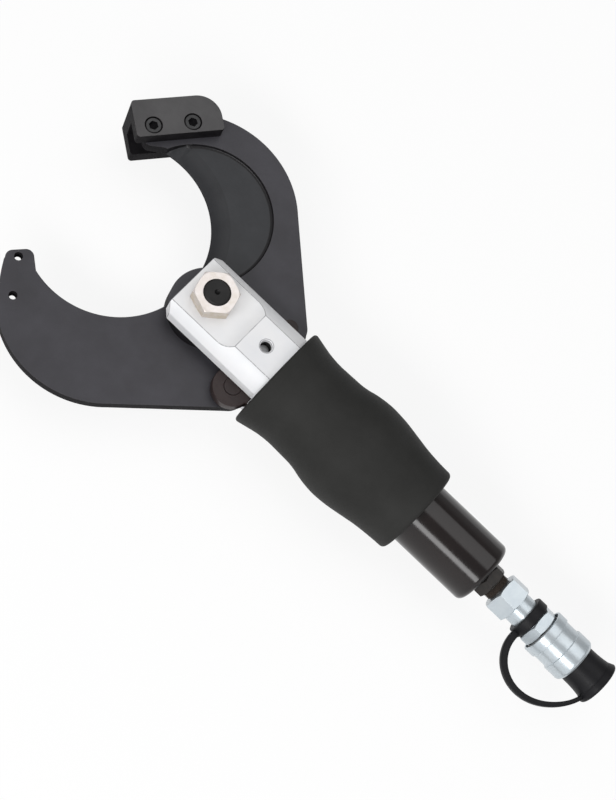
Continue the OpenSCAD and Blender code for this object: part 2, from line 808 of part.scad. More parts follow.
module yoke() {
    flat_end = grip_front - head_clear;
    mouth_sink = (accessory_mouth - accessory_d) / 2;
    color("#e8e8e6") placed() difference() {
        union() {
            bore_x(-yoke_ahead, slot_behind, yoke_r);
            bore_x(slot_behind - eps, yoke_rear, neck_r);
        }
        for (turn = [0, 180]) rotate([turn, 0, 0]) {
            flat_cut(front_flat);
            translate([-past, side_flat, -past / 2]) cube([past + flat_end, past, past]);
            translate([0, -past / 2, rear_flat]) cube([flat_end, past, past]);
            translate([-yoke_ahead, side_flat, 0]) rotate(45)
                cube([yoke_chamfer * sqrt(2), yoke_chamfer * sqrt(2), past], center = true);
        }
        translate([-past, -past / 2, -slot_half]) cube([past + slot_behind, past, 2 * slot_half]);
        translate([slot_behind - eps, -link_room, -slot_half])
            cube([open_pin + fork_slot - slot_behind, 2 * link_room, 2 * slot_half]);
        bore_x(fork_room_front, gland_front + eps, fork_room_r);
        bore_x(gland_front, yoke_rear + over, tube_r + seat_fit);
        translate([0, 0, -past / 2]) cylinder(d = bolt_d + 2 * seat_fit, h = past);
        translate([accessory_behind, 0, rear_flat - accessory_depth]) {
            cylinder(d = accessory_d, h = accessory_depth + over);
            translate([0, 0, accessory_depth - mouth_sink])
                cylinder(d1 = accessory_d, d2 = accessory_mouth + 2 * over, h = mouth_sink + over);
        }
    }
}

// Ram

module ram_fork() {
    slot = blade_t + fork_clear;
    color("#9a9a98") placed() difference() {
        bore_x(open_pin - fork_nose, fork_rear, fork_r);
        translate([open_pin - fork_nose - over, -past / 2, -slot])
            cube([fork_nose + fork_slot + over, past, 2 * slot]);
        bore_x(open_pin, fork_rear + over, rod_thread_r + seat_fit);
        translate([open_pin, 0, -past / 2]) cylinder(r = pin_r + seat_fit, h = past);
    }
}

module ram_pin() {
    half = fork_r - pin_inset;
    color("#8d8a86") placed() translate([open_pin, 0, -half]) cylinder(r = pin_r, h = 2 * half);
}

module piston_rod() {
    nut_face = piston_rear - piston_recess;
    color("#c9c9c9") placed() union() {
        bore_x(open_pin + fork_slot, fork_rear + eps, rod_thread_r);
        bore_x(fork_rear, piston_front, rod_r);
        bore_x(piston_front - eps, nut_face + piston_nut_h, rod_spigot_r);
    }
}

module piston() {
    groove_r = bore_r - ring_depth;
    seal_front = piston_front + piston_land;
    wear_front = seal_front + seal_w + piston_land;
    color("#a8a8a6") placed() difference() {
        bore_x(piston_front, piston_rear, bore_r - run_fit);
        bore_x(piston_front - over, piston_rear + over, rod_spigot_r + seat_fit);
        bore_x(piston_rear - piston_recess, piston_rear + over, piston_nut_hex / cos(30) / 2 + nut_clear);
        ring_x(seal_front, seal_front + seal_w, bore_r + over, groove_r);
        ring_x(wear_front, wear_front + wear_ring_w, bore_r + over, groove_r);
    }
}

module piston_nut() {
    color("#8d8a86") placed() along_x(piston_rear - piston_recess) difference() {
        linear_extrude(piston_nut_h) hexagon(piston_nut_hex);
        translate([0, 0, -over]) cylinder(r = rod_spigot_r + seat_fit, h = piston_nut_h + 2 * over);
    }
}

module piston_seal() {
    front = piston_front + piston_land;
    color("#26262a") placed()
        ring_x(front, front + seal_w, bore_r - run_fit / 2, bore_r - ring_depth + seat_fit);
}

module wear_ring() {
    front = piston_front + 2 * piston_land + seal_w;
    color("#6e5a3c") placed()
        ring_x(front, front + wear_ring_w, bore_r - run_fit / 2, bore_r - ring_depth + seat_fit);
}

module rod_gland() {
    wiper_r = rod_r + wiper_wall;
    color("#b08d4a") placed() difference() {
        ring_x(gland_front, gland_rear, tube_r, rod_r + run_fit);
        bore_x(gland_front - over, gland_front + wiper_w, wiper_r);
    }
}

module rod_wiper() {
    color("#26262a") placed()
        ring_x(gland_front, gland_front + wiper_w, rod_r + wiper_wall - seat_fit, rod_r + run_fit);
}

module return_spring() {
    color("#777777") placed()
        along_x(gland_rear) coil(return_coil_r, return_wire, return_turns, piston_front - gland_rear);
}

// Cylinder and grip

// Wall of the cylinder from its centre line out, with a rounded rear edge
module tube_outline() {
    polygon(concat(
        [[0, gland_rear], [tube_r, gland_rear]],
        corner_arc([tube_r - tube_round, tube_behind - tube_round], tube_round, 0),
        [[0, tube_behind]]
    ));
}

module cylinder_tube() {
    color("#3d3836") placed() difference() {
        rotate([0, 90, 0]) rotate_extrude() tube_outline();
        bore_x(gland_rear - over, chamber_rear, bore_r);
        bore_x(chamber_rear - over, tube_behind + over, adapter_spigot_r + seat_fit);
    }
}

// Smooth passage from one radius to another
function eased(a, b, t) = a + (b - a) * (1 - cos(180 * t)) / 2;

// Outline of the grip from its centre line out: flange, waist, swell and rear end
module grip_outline() {
    waist = grip_front + waist_at;
    top = grip_front + swell_at;
    flange_l = waist_at - grip_round;
    tail_l = grip_rear - grip_round - top;
    steps = [for (k = [1:ease_steps]) k / ease_steps];
    flange = [for (t = steps) if (t < 1)
        [waist_r + (flange_r - waist_r) * (1 - sin(90 * t)), waist - flange_l * (1 - t)]];
    swell = [for (t = concat([0], steps)) [eased(waist_r, swell_r, t), waist + t * (top - waist)]];
    tail = [for (t = steps) if (t < 1) [eased(swell_r, grip_rear_r, t), top + t * tail_l]];
    polygon(concat(
        [[0, grip_rear], [0, grip_front]],
        corner_arc([flange_r - grip_round, grip_front + grip_round], grip_round, -90),
        flange, swell, tail,
        corner_arc([grip_rear_r - grip_round, grip_rear - grip_round], grip_round, 0)
    ));
}

module rubber_grip() {
    pocket_half = slot_half + nut_clear;
    color("#323231") placed() difference() {
        rotate([0, 90, 0]) rotate_extrude() grip_outline();
        bore_x(grip_front - over, slot_behind, yoke_r + seat_fit);
        bore_x(grip_front, yoke_rear, neck_r + seat_fit);
        bore_x(grip_front, grip_rear + over, tube_r + seat_fit);
        translate([grip_front - over, -grip_pocket, -pocket_half])
            cube([grip_pocket_l + over, 2 * grip_pocket, 2 * pocket_half]);
    }
}

// Inlet

module adapter_seal() {
    color("#5b5650") placed()
        ring_x(tube_behind, adapter_front, adapter_hex / 2, adapter_spigot_r + seat_fit);
}

module inlet_adapter() {
    color("#2f2d2b") placed() difference() {
        union() {
            bore_x(chamber_rear + cap_rest_gap, adapter_front + eps, adapter_spigot_r);
            along_x(adapter_front) turned_hex(adapter_hex, adapter_hex_l);
            bore_x(neck_front - eps, coupler_front + adapter_engage, adapter_neck_r);
        }
        bore_x(chamber_rear, coupler_front + adapter_engage + over, oil_r);
    }
}

// Coupler

module coupler_rear() {
    color("#cfd6dc") placed() difference() {
        union() {
            along_x(coupler_front) turned_hex(coupler_hex, rear_hex_l);
            bore_x(barrel_front - eps, half_joint, rear_barrel_r);
            bore_x(half_joint - eps, half_joint + half_thread_l, half_thread_r);
        }
        bore_x(coupler_front - over, coupler_front + adapter_engage, adapter_neck_r + seat_fit);
        bore_x(coupler_front, half_joint + half_thread_l + over, oil_r + over);
    }
}

module coupler_body() {
    color("#cfd6dc") placed() difference() {
        union() {
            along_x(half_joint) turned_hex(coupler_hex, front_hex_l);
            bore_x(spring_seat - eps, land_front + eps, spring_barrel_r);
            bore_x(land_front, body_mouth, land_barrel_r);
        }
        bore_x(half_joint - over, half_joint + half_thread_l, half_thread_r + seat_fit);
        bore_x(half_joint, seat_front, chamber_r);
        bore_x(seat_front - eps, socket_front + eps, seat_r);
        bore_x(socket_front, body_mouth + over, socket_r);
        bore_x(entry_front, body_mouth + over, entry_r);
        bore_x(seal_at, seal_at + seal_groove_w, seal_groove_r);
        ring_x(ring_at, ring_at + ring_t + ring_play, land_barrel_r + over, land_barrel_r - ring_groove);
        for (i = [0:ball_count - 1]) translate([ball_at, 0, 0]) rotate([360 / ball_count * i, 0, 0])
            cylinder(d = ball_d + 2 * seat_fit, h = land_barrel_r + over);
    }
}

module coupler_sleeve() {
    ring_end = sleeve_front + sleeve_ring_l;
    front_r = land_barrel_r + ring_stand + head_clear;
    color("#cfd6dc") placed() difference() {
        union() {
            bore_x(sleeve_front, sleeve_rear - sleeve_chamfer, sleeve_r);
            along_x(sleeve_rear - sleeve_chamfer - eps)
                cylinder(r1 = sleeve_r, r2 = sleeve_r - sleeve_chamfer, h = sleeve_chamfer + eps);
        }
        ring_x(ring_end, ring_end + sleeve_band_l, sleeve_r + over, sleeve_r - sleeve_band);
        bore_x(sleeve_front - over, sleeve_rear + over, land_barrel_r + run_fit);
        bore_x(sleeve_front - over, land_front, sleeve_room_r);
        bore_x(sleeve_stop, sleeve_rear + over, front_r);
    }
}

module sleeve_spring() {
    mean_r = (spring_barrel_r + sleeve_room_r) / 2;
    color("#777777") placed() along_x(spring_seat)
        coil(mean_r, sleeve_wire, sleeve_turns, land_front - spring_seat);
}

module retaining_ring() {
    front = ring_at + ring_play / 2;
    inner = land_barrel_r - ring_groove + seat_fit;
    color("#777777") placed() ring_x(front, front + ring_t, land_barrel_r + ring_stand, inner);
}

module locking_balls() {
    color("#b9b9b9") placed() for (i = [0:ball_count - 1])
        translate([ball_at, 0, 0]) rotate([360 / ball_count * i, 0, 0])
            translate([0, 0, ball_centre_r]) sphere(d = ball_d);
}

module coupler_poppet() {
    color("#b08d4a") placed() union() {
        bore_x(seat_front - poppet_flange_t, seat_front, chamber_r - shank_clear);
        bore_x(seat_front - eps, socket_front + over, seat_r - run_fit);
    }
}

module poppet_spring() {
    rear = half_joint + half_thread_l;
    mean_r = chamber_r - head_clear - poppet_wire;
    color("#777777") placed()
        along_x(rear) coil(mean_r, poppet_wire, poppet_turns, seat_front - poppet_flange_t - rear);
}

module socket_seal() {
    color("#26262a") placed() along_x(seal_at + seal_groove_w / 2) rotate_extrude()
        translate([socket_r + seat_fit + socket_seal_d / 2, 0]) circle(d = socket_seal_d, $fn = 32);
}

// Dust cap

module dust_cap() {
    groove_r = cap_r - cap_groove;
    color("#232326") placed() union() {
        bore_x(cap_front - plug_l, cap_front + eps, plug_r);
        bore_x(cap_front, cap_ring_at, cap_r);
        bore_x(cap_ring_at - eps, cap_rear - cap_rim_l + eps, groove_r);
        bore_x(cap_rear - cap_rim_l, cap_rear, cap_r);
    }
}

// Curved band of the strap, from the coupler's ring to the cap's ring
module strap_band() {
    translate([strap_centre[0], strap_centre[1], -strap_w / 2]) rotate(270 - strap_arc / 2)
        rotate_extrude(angle = strap_arc) translate([strap_r - strap_t / 2, 0]) square([strap_t, strap_w]);
}

module cap_strap() {
    inner = cap_r - cap_groove + seat_fit;
    color("#232326") placed() {
        ring_x(strap_ring_at, strap_ring_at + strap_ring_w, strap_ring_r, rear_barrel_r + seat_fit);
        ring_x(cap_ring_at + seat_fit, cap_ring_at + cap_ring_w - seat_fit, cap_ring_r, inner);
        difference() {
            strap_band();
            bore_x(strap_ring_at - strap_w, strap_ring_at + strap_ring_w, strap_ring_r - eps);
            bore_x(cap_ring_at - strap_w, cap_rear + strap_w, cap_r + nut_clear);
        }
    }
}

yoke();
upper_blade();
lower_blade();
pivot_bush();
centre_bolt();
centre_nut();
guide_block();
guide_screws();
upper_link();
lower_link();
upper_tail_pin();
lower_tail_pin();
ram_pin();
ram_fork();
piston_rod();
piston();
piston_nut();
piston_seal();
wear_ring();
rod_gland();
rod_wiper();
return_spring();
cylinder_tube();
rubber_grip();
inlet_adapter();
adapter_seal();
coupler_rear();
coupler_body();
coupler_sleeve();
sleeve_spring();
retaining_ring();
locking_balls();
coupler_poppet();
poppet_spring();
socket_seal();
dust_cap();
cap_strap();
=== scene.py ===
"""Hydraulic cutter head: its visible pieces and finishes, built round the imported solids."""
import json
import math

import bmesh
import bpy
from mathutils import Matrix, Vector, noise
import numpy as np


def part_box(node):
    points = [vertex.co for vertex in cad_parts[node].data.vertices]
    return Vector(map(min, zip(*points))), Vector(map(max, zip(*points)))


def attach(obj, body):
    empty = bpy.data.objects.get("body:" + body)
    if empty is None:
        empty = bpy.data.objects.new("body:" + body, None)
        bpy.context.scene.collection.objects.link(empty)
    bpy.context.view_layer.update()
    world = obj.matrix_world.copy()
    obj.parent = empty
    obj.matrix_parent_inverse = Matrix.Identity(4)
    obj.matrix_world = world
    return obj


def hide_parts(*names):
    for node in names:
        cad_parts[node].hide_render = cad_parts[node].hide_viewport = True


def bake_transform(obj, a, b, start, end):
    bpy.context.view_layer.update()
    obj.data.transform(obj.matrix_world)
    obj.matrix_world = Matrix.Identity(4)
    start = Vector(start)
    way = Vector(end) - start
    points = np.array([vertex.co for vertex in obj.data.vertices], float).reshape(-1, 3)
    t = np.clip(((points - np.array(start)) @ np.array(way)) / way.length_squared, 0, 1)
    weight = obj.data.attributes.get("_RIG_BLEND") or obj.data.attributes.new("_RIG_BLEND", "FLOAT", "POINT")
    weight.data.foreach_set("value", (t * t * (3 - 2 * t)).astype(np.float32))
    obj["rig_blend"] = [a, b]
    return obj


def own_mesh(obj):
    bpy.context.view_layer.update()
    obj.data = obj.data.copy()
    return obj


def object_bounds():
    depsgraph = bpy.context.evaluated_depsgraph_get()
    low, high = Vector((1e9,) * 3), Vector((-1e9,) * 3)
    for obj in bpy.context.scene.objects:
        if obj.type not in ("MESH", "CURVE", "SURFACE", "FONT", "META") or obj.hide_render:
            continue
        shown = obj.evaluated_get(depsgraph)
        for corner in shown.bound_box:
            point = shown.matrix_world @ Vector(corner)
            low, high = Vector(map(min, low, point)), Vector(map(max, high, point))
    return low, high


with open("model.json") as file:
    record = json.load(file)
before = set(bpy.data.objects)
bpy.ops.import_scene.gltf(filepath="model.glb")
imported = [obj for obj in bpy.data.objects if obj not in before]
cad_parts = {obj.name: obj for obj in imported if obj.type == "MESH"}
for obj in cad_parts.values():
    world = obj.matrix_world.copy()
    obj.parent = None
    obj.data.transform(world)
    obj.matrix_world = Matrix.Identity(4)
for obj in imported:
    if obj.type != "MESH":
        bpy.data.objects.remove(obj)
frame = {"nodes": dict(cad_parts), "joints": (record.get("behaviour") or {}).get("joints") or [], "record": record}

bl_info = {
    "name": "Hydraulic cutter head",
    "version": (1, 0, 0),
    "blender": (4, 5, 0),
    "location": "View3D > Sidebar > Cutter",
    "description": "Models and finishes the visible pieces of a hydraulic cutter head",
    "category": "Object",
}

MM = 0.001
TURN = 2 * math.pi
NODES = frame["nodes"]
JOINTS = {joint["name"]: joint for joint in frame["joints"]}
MOUNTS = {mount["name"]: mount for mount in frame["record"]["mounts"]}
CAD_BOX = [list(corner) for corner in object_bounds()]
# The centre bolt crosses the ram's axis at this point, in the plane where the blades meet
PIVOT = Vector(JOINTS["upper_blade_pivot"]["pos_m"])
AXIS = (1, 0, 0)
# Points this close are one point
WELD = 0.002 * MM
# Shorter steps in a rim would hold the rounding of all edges back
STEP = 0.1 * MM
# Points this close to a stated height or flat lie on it
NEAR = 0.05 * MM
# Sockets of a Mix node that mixes colours
SHARE, FIRST, SECOND, MIXED = 0, 6, 7, 2
WHITE = (1, 1, 1, 1)


# Shared tools

def at(behind, beside=0.0, above=0.0):
    """Point in the frame, in millimetres behind the centre bolt, beside and above the axis."""
    return PIVOT + Vector((behind, beside, above)) * MM


def stations(node):
    """Front and rear end of a node, in millimetres behind the centre bolt."""
    return [(corner.x - PIVOT.x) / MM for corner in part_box(node)]


def linear(code):
    """Linear colour with alpha, from an sRGB hex value."""
    parts = [int(code[i:i + 2], 16) / 255 for i in (1, 3, 5)]
    return [p / 12.92 if p <= 0.04045 else ((p + 0.055) / 1.055) ** 2.4 for p in parts] + [1.0]


def tint(name, about, code):
    """Property for a colour that a user may change."""
    return bpy.props.FloatVectorProperty(
        name=name, description=about, subtype="COLOR", size=4, min=0, max=1, default=linear(code))


def length(name, about, mm):
    """Property for a length that a user may change."""
    return bpy.props.FloatProperty(
        name=name, description=about, subtype="DISTANCE", unit="LENGTH", min=0, default=mm * MM,
        precision=5)


def add_node(tree, kind, inputs=None, **settings):
    """Adds a node with its settings, and feeds its inputs with values or other nodes' outputs."""
    node = tree.nodes.new(kind)
    for key, value in settings.items():
        setattr(node, key, value)
    for key, value in (inputs or {}).items():
        if isinstance(value, bpy.types.NodeSocket):
            tree.links.new(value, node.inputs[key])
        else:
            node.inputs[key].default_value = value
    return node


def finish(name, colour, drift, patch, grain, depth, rough, spread, stretch=(1, 1, 1), turn=0.0,
           wear_and_edge_shade=None, painted_shade=None, metal=0.0, mirror=0.5):
    """Material whose colour drifts in patches, with a grain that sets roughness and relief.

    patch, grain and depth are in millimetres; stretch and turn lay the grain along a tool's path;
    wear_and_edge_shade is the colour where the mesh is marked as a rubbed edge, which is real wear
    on most parts and painted shade on the yoke's edges; painted_shade is the colour of painted shade
    where the mesh is marked as an inner corner, a recess or a bevel;
    metal and mirror are the shader's metallic share and its level of plain reflection."""
    known = bpy.data.materials.get(name)
    if known:
        return known
    material = bpy.data.materials.new(name)
    material.use_nodes = True
    tree = material.node_tree
    tree.nodes.clear()
    spot = add_node(tree, "ShaderNodeTexCoord").outputs["Object"]
    laid = add_node(tree, "ShaderNodeMapping",
                    {"Vector": spot, "Rotation": (0, 0, math.radians(turn)), "Scale": stretch})
    clouds = add_node(tree, "ShaderNodeTexNoise",
                      {"Vector": spot, "Scale": 1 / (patch * MM), "Detail": 3.0, "Roughness": 0.6})
    fine = add_node(tree, "ShaderNodeTexNoise",
                    {"Vector": laid.outputs["Vector"], "Scale": 1 / (grain * MM), "Detail": 2.0})
    # Noise seldom leaves the middle of its range, so each share is stretched from there
    share = add_node(tree, "ShaderNodeMapRange",
                     {"Value": clouds.outputs["Fac"], "From Min": 0.32, "From Max": 0.68})
    body = add_node(tree, "ShaderNodeMix",
                    {SHARE: share.outputs["Result"], FIRST: colour, SECOND: drift},
                    data_type="RGBA").outputs[MIXED]
    if wear_and_edge_shade:
        # Marked rubbed edges: real wear on most parts, painted shade on the yoke's edges
        mark = add_node(tree, "ShaderNodeAttribute", attribute_name="wear_and_edge_shade")
        rubbed = add_node(tree, "ShaderNodeMapRange",
                          {"Value": fine.outputs["Fac"], "From Min": 0.15, "From Max": 0.45})
        bare = add_node(tree, "ShaderNodeMath",
                        {0: mark.outputs["Fac"], 1: rubbed.outputs["Result"]},
                        operation="MULTIPLY")
        body = add_node(tree, "ShaderNodeMix",
                        {SHARE: bare.outputs["Value"], FIRST: body, SECOND: wear_and_edge_shade},
                        data_type="RGBA").outputs[MIXED]
    if painted_shade:
        # Painted shade: a darker colour in the marked inner corners, recesses and bevels, where shade falls
        corner = add_node(tree, "ShaderNodeAttribute", attribute_name="painted_shade")
        body = add_node(tree, "ShaderNodeMix",
                        {SHARE: corner.outputs["Fac"], FIRST: body, SECOND: painted_shade},
                        data_type="RGBA").outputs[MIXED]
    gloss = add_node(tree, "ShaderNodeMapRange",
                     {"Value": fine.outputs["Fac"], "From Min": 0.3, "From Max": 0.7,
                      "To Min": rough - spread, "To Max": rough + spread})
    relief = add_node(tree, "ShaderNodeBump",
                      {"Height": fine.outputs["Fac"], "Strength": 1.0, "Distance": depth * MM})
    surface = add_node(tree, "ShaderNodeBsdfPrincipled",
                       {"Base Color": body, "Roughness": gloss.outputs["Result"],
                        "Normal": relief.outputs["Normal"], "Metallic": metal,
                        "Specular IOR Level": mirror})
    add_node(tree, "ShaderNodeOutputMaterial", {"Surface": surface.outputs["BSDF"]})
    return material


def dress(material, *nodes):
    """Gives a material to CAD nodes that keep their own shape."""
    for node in nodes:
        for place in NODES[node].material_slots:
            place.material = material


def settle(bm, name, body, materials, nodes=(), sharp=32.0):
    """Turns a bmesh into a piece that rides on a body and stands for CAD nodes."""
    mesh = bpy.data.meshes.new(name)
    bm.to_mesh(mesh)
    bm.free()
    for material in materials:
        mesh.materials.append(material)
    mesh.shade_smooth()
    mesh.set_sharp_from_angle(angle=math.radians(sharp))
    piece = bpy.data.objects.new(name, mesh)
    bpy.context.scene.collection.objects.link(piece)
    if body:
        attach(piece, body)
    if nodes:
        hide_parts(*nodes)
    return piece


def crisp(piece):
    """Keeps large flats flat beside their broken edges."""
    weighing = piece.modifiers.new("flat faces", "WEIGHTED_NORMAL")
    weighing.keep_sharp = True


def merged(node):
    """Merged copy of a solid's mesh, with whole flats and marks for rubbed edges and painted shade."""
    bm = bmesh.new()
    bm.from_mesh(NODES[node].data)
    bmesh.ops.remove_doubles(bm, verts=bm.verts, dist=WELD)
    bmesh.ops.dissolve_limit(bm, angle_limit=math.radians(0.5), use_dissolve_boundaries=False,
                             verts=bm.verts, edges=bm.edges, delimit=set())
    bmesh.ops.dissolve_degenerate(bm, dist=STEP, edges=bm.edges)
    for mark in ("wear_and_edge_shade", "painted_shade"):
        bm.faces.layers.float.new(mark)
    return bm


def bevelled(bm, geom, width, affect, segments):
    """Rounds edges, or the corners of an outline, and returns the new faces."""
    made = bmesh.ops.bevel(bm, geom=geom, offset=width, offset_type="OFFSET", affect=affect,
                           segments=segments, profile=0.5, clamp_overlap=True, material=-1)
    return made["faces"]


def rounded(bm, chosen, width, mark=None, segments=2):
    """Rounds the chosen edges, marks the new faces if a mark is named, and returns them."""
    edges = [edge for edge in bm.edges if edge.is_manifold and chosen(edge)]
    faces = bevelled(bm, edges, width, "EDGES", segments)
    if mark:
        for face in faces:
            face[bm.faces.layers.float[mark]] = 1.0
    return faces


def broken(bm, width, shown=lambda edge: True, sharp=35.0):
    """Breaks outer edges and fills inner corners together; marks outer edges as rubbed and inner corners for
    painted shade.
    """
    least = math.radians(sharp)
    for face in rounded(bm, lambda edge: edge.calc_face_angle() > least and shown(edge), width):
        turn = sum(edge.calc_face_angle_signed(0.0) for edge in face.edges)
        face[bm.faces.layers.float["wear_and_edge_shade" if turn > 0 else "painted_shade"]] = 1.0


def softened(node, width, rear=math.inf):
    """Merged copy of a solid's mesh with its edges broken, as far back as they show."""
    bm = merged(node)
    broken(bm, width, lambda edge: all(vert.co.x - PIVOT.x < rear * MM for vert in edge.verts))
    return bm


def drawn(bm, outline, closed=True, segments=5):
    """Draws an outline of (behind, radius, rounding) in millimetres, and rounds its corners."""
    spots = [bm.verts.new(at(behind, 0, radius)) for behind, radius, _ in outline]
    ends = spots[1:] + spots[:1] if closed else spots[1:]
    for a, b in zip(spots, ends):
        bm.edges.new((a, b))
    before = set(bm.verts) - set(spots)
    sizes = [rounding for _, _, rounding in outline]
    for size in sorted(set(sizes) - {0}):
        corners = [spot for spot, own in zip(spots, sizes) if own == size]
        bevelled(bm, corners, size * MM, "VERTICES", segments)
    verts = [vert for vert in bm.verts if vert not in before]
    return verts + list({edge for vert in verts for edge in vert.link_edges})


def turned(outline, closed=True, steps=96, segments=5):
    """Turns an outline of (behind, radius, rounding) in millimetres about the ram's axis."""
    bm = bmesh.new()
    geom = drawn(bm, outline, closed, segments)
    bmesh.ops.spin(bm, geom=geom, cent=PIVOT, axis=AXIS, angle=TURN, steps=steps, use_merge=True)
    bmesh.ops.remove_doubles(bm, verts=bm.verts, dist=WELD)
    bmesh.ops.recalc_face_normals(bm, faces=bm.faces)
    return bm


def closed_up(bm):
    """Fills the open ends of a shape and points its faces outwards."""
    bmesh.ops.holes_fill(bm, edges=[edge for edge in bm.edges if edge.is_boundary], sides=0)
    bmesh.ops.recalc_face_normals(bm, faces=bm.faces)
    return bm


def wound(front, run, mean, wire, turns):
    """Round wire wound along the ram's axis over a run, with its mean radius, in millimetres."""
    bm = bmesh.new()
    start = Matrix.Translation(at(front + wire / 2, 0, mean)) @ Matrix.Rotation(TURN / 4, 4, "X")
    bmesh.ops.create_circle(bm, cap_ends=False, segments=10, radius=wire / 2 * MM, matrix=start)
    steps = 32 * turns
    rise = (run - wire) * MM / steps
    bmesh.ops.spin(bm, geom=bm.verts[:] + bm.edges[:], cent=PIVOT, axis=AXIS, dvec=(rise, 0, 0),
                   angle=TURN * turns, steps=steps)
    return closed_up(bm)


def sprung(node, name, material, mean, wire, turns):
    """Makes a coil spring that stands for a node."""
    front, rear = stations(node)
    run = rear - front
    coil = settle(wound(front, run, mean, wire, turns), name, "head", [material],
                  [node])
    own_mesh(coil)


def ridged(place, run, pitch, base, crest, back):
    """Ring of thread ridges over a run from a place, with its radii, in millimetres.

    The ridges rise from base to crest, and the ring's hidden side is at back."""
    count = int(run / pitch)
    outline = [(0, back, 0)]
    for i in range(count):
        outline += [(i * pitch, base, 0), ((i + 0.5) * pitch, crest, 0)]
    outline += [(count * pitch, base, 0), (count * pitch, back, 0)]
    bm = turned(outline, steps=48)
    home = Matrix.Translation(PIVOT)
    bmesh.ops.transform(bm, matrix=place @ home.inverted(), verts=bm.verts)
    return bm


def tapped(hole, **thread):
    """Thread ridges along a tapped hole, from 3.4 mm below the place that its mount states."""
    foot = Vector(MOUNTS[hole]["pos_m"]) - Vector((0, 0, 3.4 * MM))
    return ridged(Matrix.Translation(foot) @ Matrix.Rotation(-TURN / 4, 4, "Y"), **thread)


# Finishes
#
# Grain that is too fine to show, such as feed marks, drawing lines and spark texture, is drawn
# 0.3 to 0.9 mm wide.

def blackened_plate(look):
    """Hot-rolled plate, blasted and black-oxided: dark warm grey, soft clouds, a satin grain."""
    # Blast marks of about 0.1 mm are drawn 0.7 mm wide, so that they show
    # Marked inner corners get the near-black of painted shade
    return finish("black_oxide_blasted_plate", look.plate, look.plate_drift, patch=26, grain=0.7,
                  depth=0.012, rough=0.46, spread=0.08, wear_and_edge_shade=look.bare, painted_shade=look.shade_black, metal=0.1,
                  mirror=0.3)


def ground_plate(look):
    """The same steel after surface grinding and oiling: bluer, smoother, with fine lines."""
    # Grinding lines of about 0.05 mm are drawn 0.5 mm wide, so that they show
    # Marked inner corners and the bevel get the near-black of painted shade
    return finish("black_oxide_ground_steel", look.ground, look.ground_drift, patch=18, grain=0.5,
                  depth=0.006, rough=0.4, spread=0.06, stretch=(0.12, 1, 1), turn=50,
                  wear_and_edge_shade=look.ground_drift, painted_shade=look.shade_black, metal=0.1, mirror=0.3)


def milled_block(look):
    """Milled and black-oxided block: dark grey with cutter lines along its length."""
    # Marked inner corners get the near-black of painted shade
    return finish("black_oxide_milled_steel", look.block, look.block_drift, patch=20, grain=0.6,
                  depth=0.01, rough=0.46, spread=0.07, stretch=(0.1, 1, 1), turn=-52.3,
                  wear_and_edge_shade=look.bare, painted_shade=look.shade_black, metal=0.1, mirror=0.3)


def painted_shade_steel(look):
    """Nearly black and matt steel: painted shade on sawn sides, in slots, bores, sockets and holes."""
    return finish("black_oxide_painted_shade", look.shade_black, look.shade_black_drift, patch=8, grain=0.8,
                  depth=0.015, rough=0.55, spread=0.08, wear_and_edge_shade=look.shade_black_drift, mirror=0.02)


def blackened_screw(look):
    """Black-oxided alloy steel of bought screws: smoother and darker than the plate."""
    # Inner corners and the chamfers round the heads get the near-black of painted shade
    return finish("black_oxide_alloy_screw", look.screw, look.screw_drift, patch=6, grain=0.5,
                  depth=0.006, rough=0.4, spread=0.07, wear_and_edge_shade=look.screw_drift, painted_shade=look.shade_black,
                  metal=0.1, mirror=0.3)


def bright_yoke(look):
    """Milled steel, blasted fine and nickelled: near white, and matt enough to scatter light."""
    # Painted shade: grey on the broken edges and darker grey in the inner corners
    return finish("satin_nickel_blasted_steel", look.plate, look.drift, patch=30, grain=0.8,
                  depth=0.0012, rough=0.45, spread=0.03, stretch=(1, 0.08, 0.08), wear_and_edge_shade=look.edge,
                  painted_shade=look.seam, metal=0.05, mirror=0.3)


def shaded_thread(look):
    """Cut thread, made as dark as painted shade inside its hole."""
    return finish("cut_thread_painted_shade", look.bolt, look.bolt_drift, patch=3, grain=0.5,
                  depth=0.01, rough=0.5, spread=0.08, metal=0.2, mirror=0.2)


def zinc_nut(look):
    """Zinc-plated nut with a clear, slightly warm passivation."""
    # Inner corners get painted shade
    return finish("clear_zinc_plated_nut", look.nut, look.nut_drift, patch=5, grain=0.5,
                  depth=0.0006, rough=0.32, spread=0.04, wear_and_edge_shade=look.nut, painted_shade=look.seam, metal=0.5)


def shaded_nut_flats(look):
    """The same zinc on the nut's flats, darker and warmer: painted shade."""
    return finish("zinc_nut_painted_flat_shade", look.nut_side_shade, look.nut_drift, patch=5, grain=0.5,
                  depth=0.0006, rough=0.34, spread=0.04, wear_and_edge_shade=look.nut_drift, painted_shade=look.seam,
                  metal=0.5)


def blackened_bolt(look):
    """Turned bolt end in black oxide: dark grey with fine turning marks."""
    # The centre hole and inner corners get the near-black of painted shade
    return finish("black_oxide_turned_bolt", look.bolt, look.bolt_drift, patch=6, grain=0.4,
                  depth=0.006, rough=0.42, spread=0.08, wear_and_edge_shade=look.bolt_drift, painted_shade=look.hole,
                  metal=0.1, mirror=0.2)


def bronzed_link(look):
    """Forged links and their pins with a brown heat-treatment film under oil."""
    return finish("brown_oxide_forged_link", look.link, look.link_drift, patch=9, grain=0.7,
                  depth=0.015, rough=0.45, spread=0.08, wear_and_edge_shade=look.link_drift, metal=0.1,
                  mirror=0.3)


def ground_pin(look):
    """Hardened pins, ground bright and left in oil."""
    return finish("ground_hardened_pin_steel", look.pin, look.pin_drift, patch=6, grain=0.3,
                  depth=0.002, rough=0.22, spread=0.05, stretch=(1, 1, 0.1), metal=1.0)


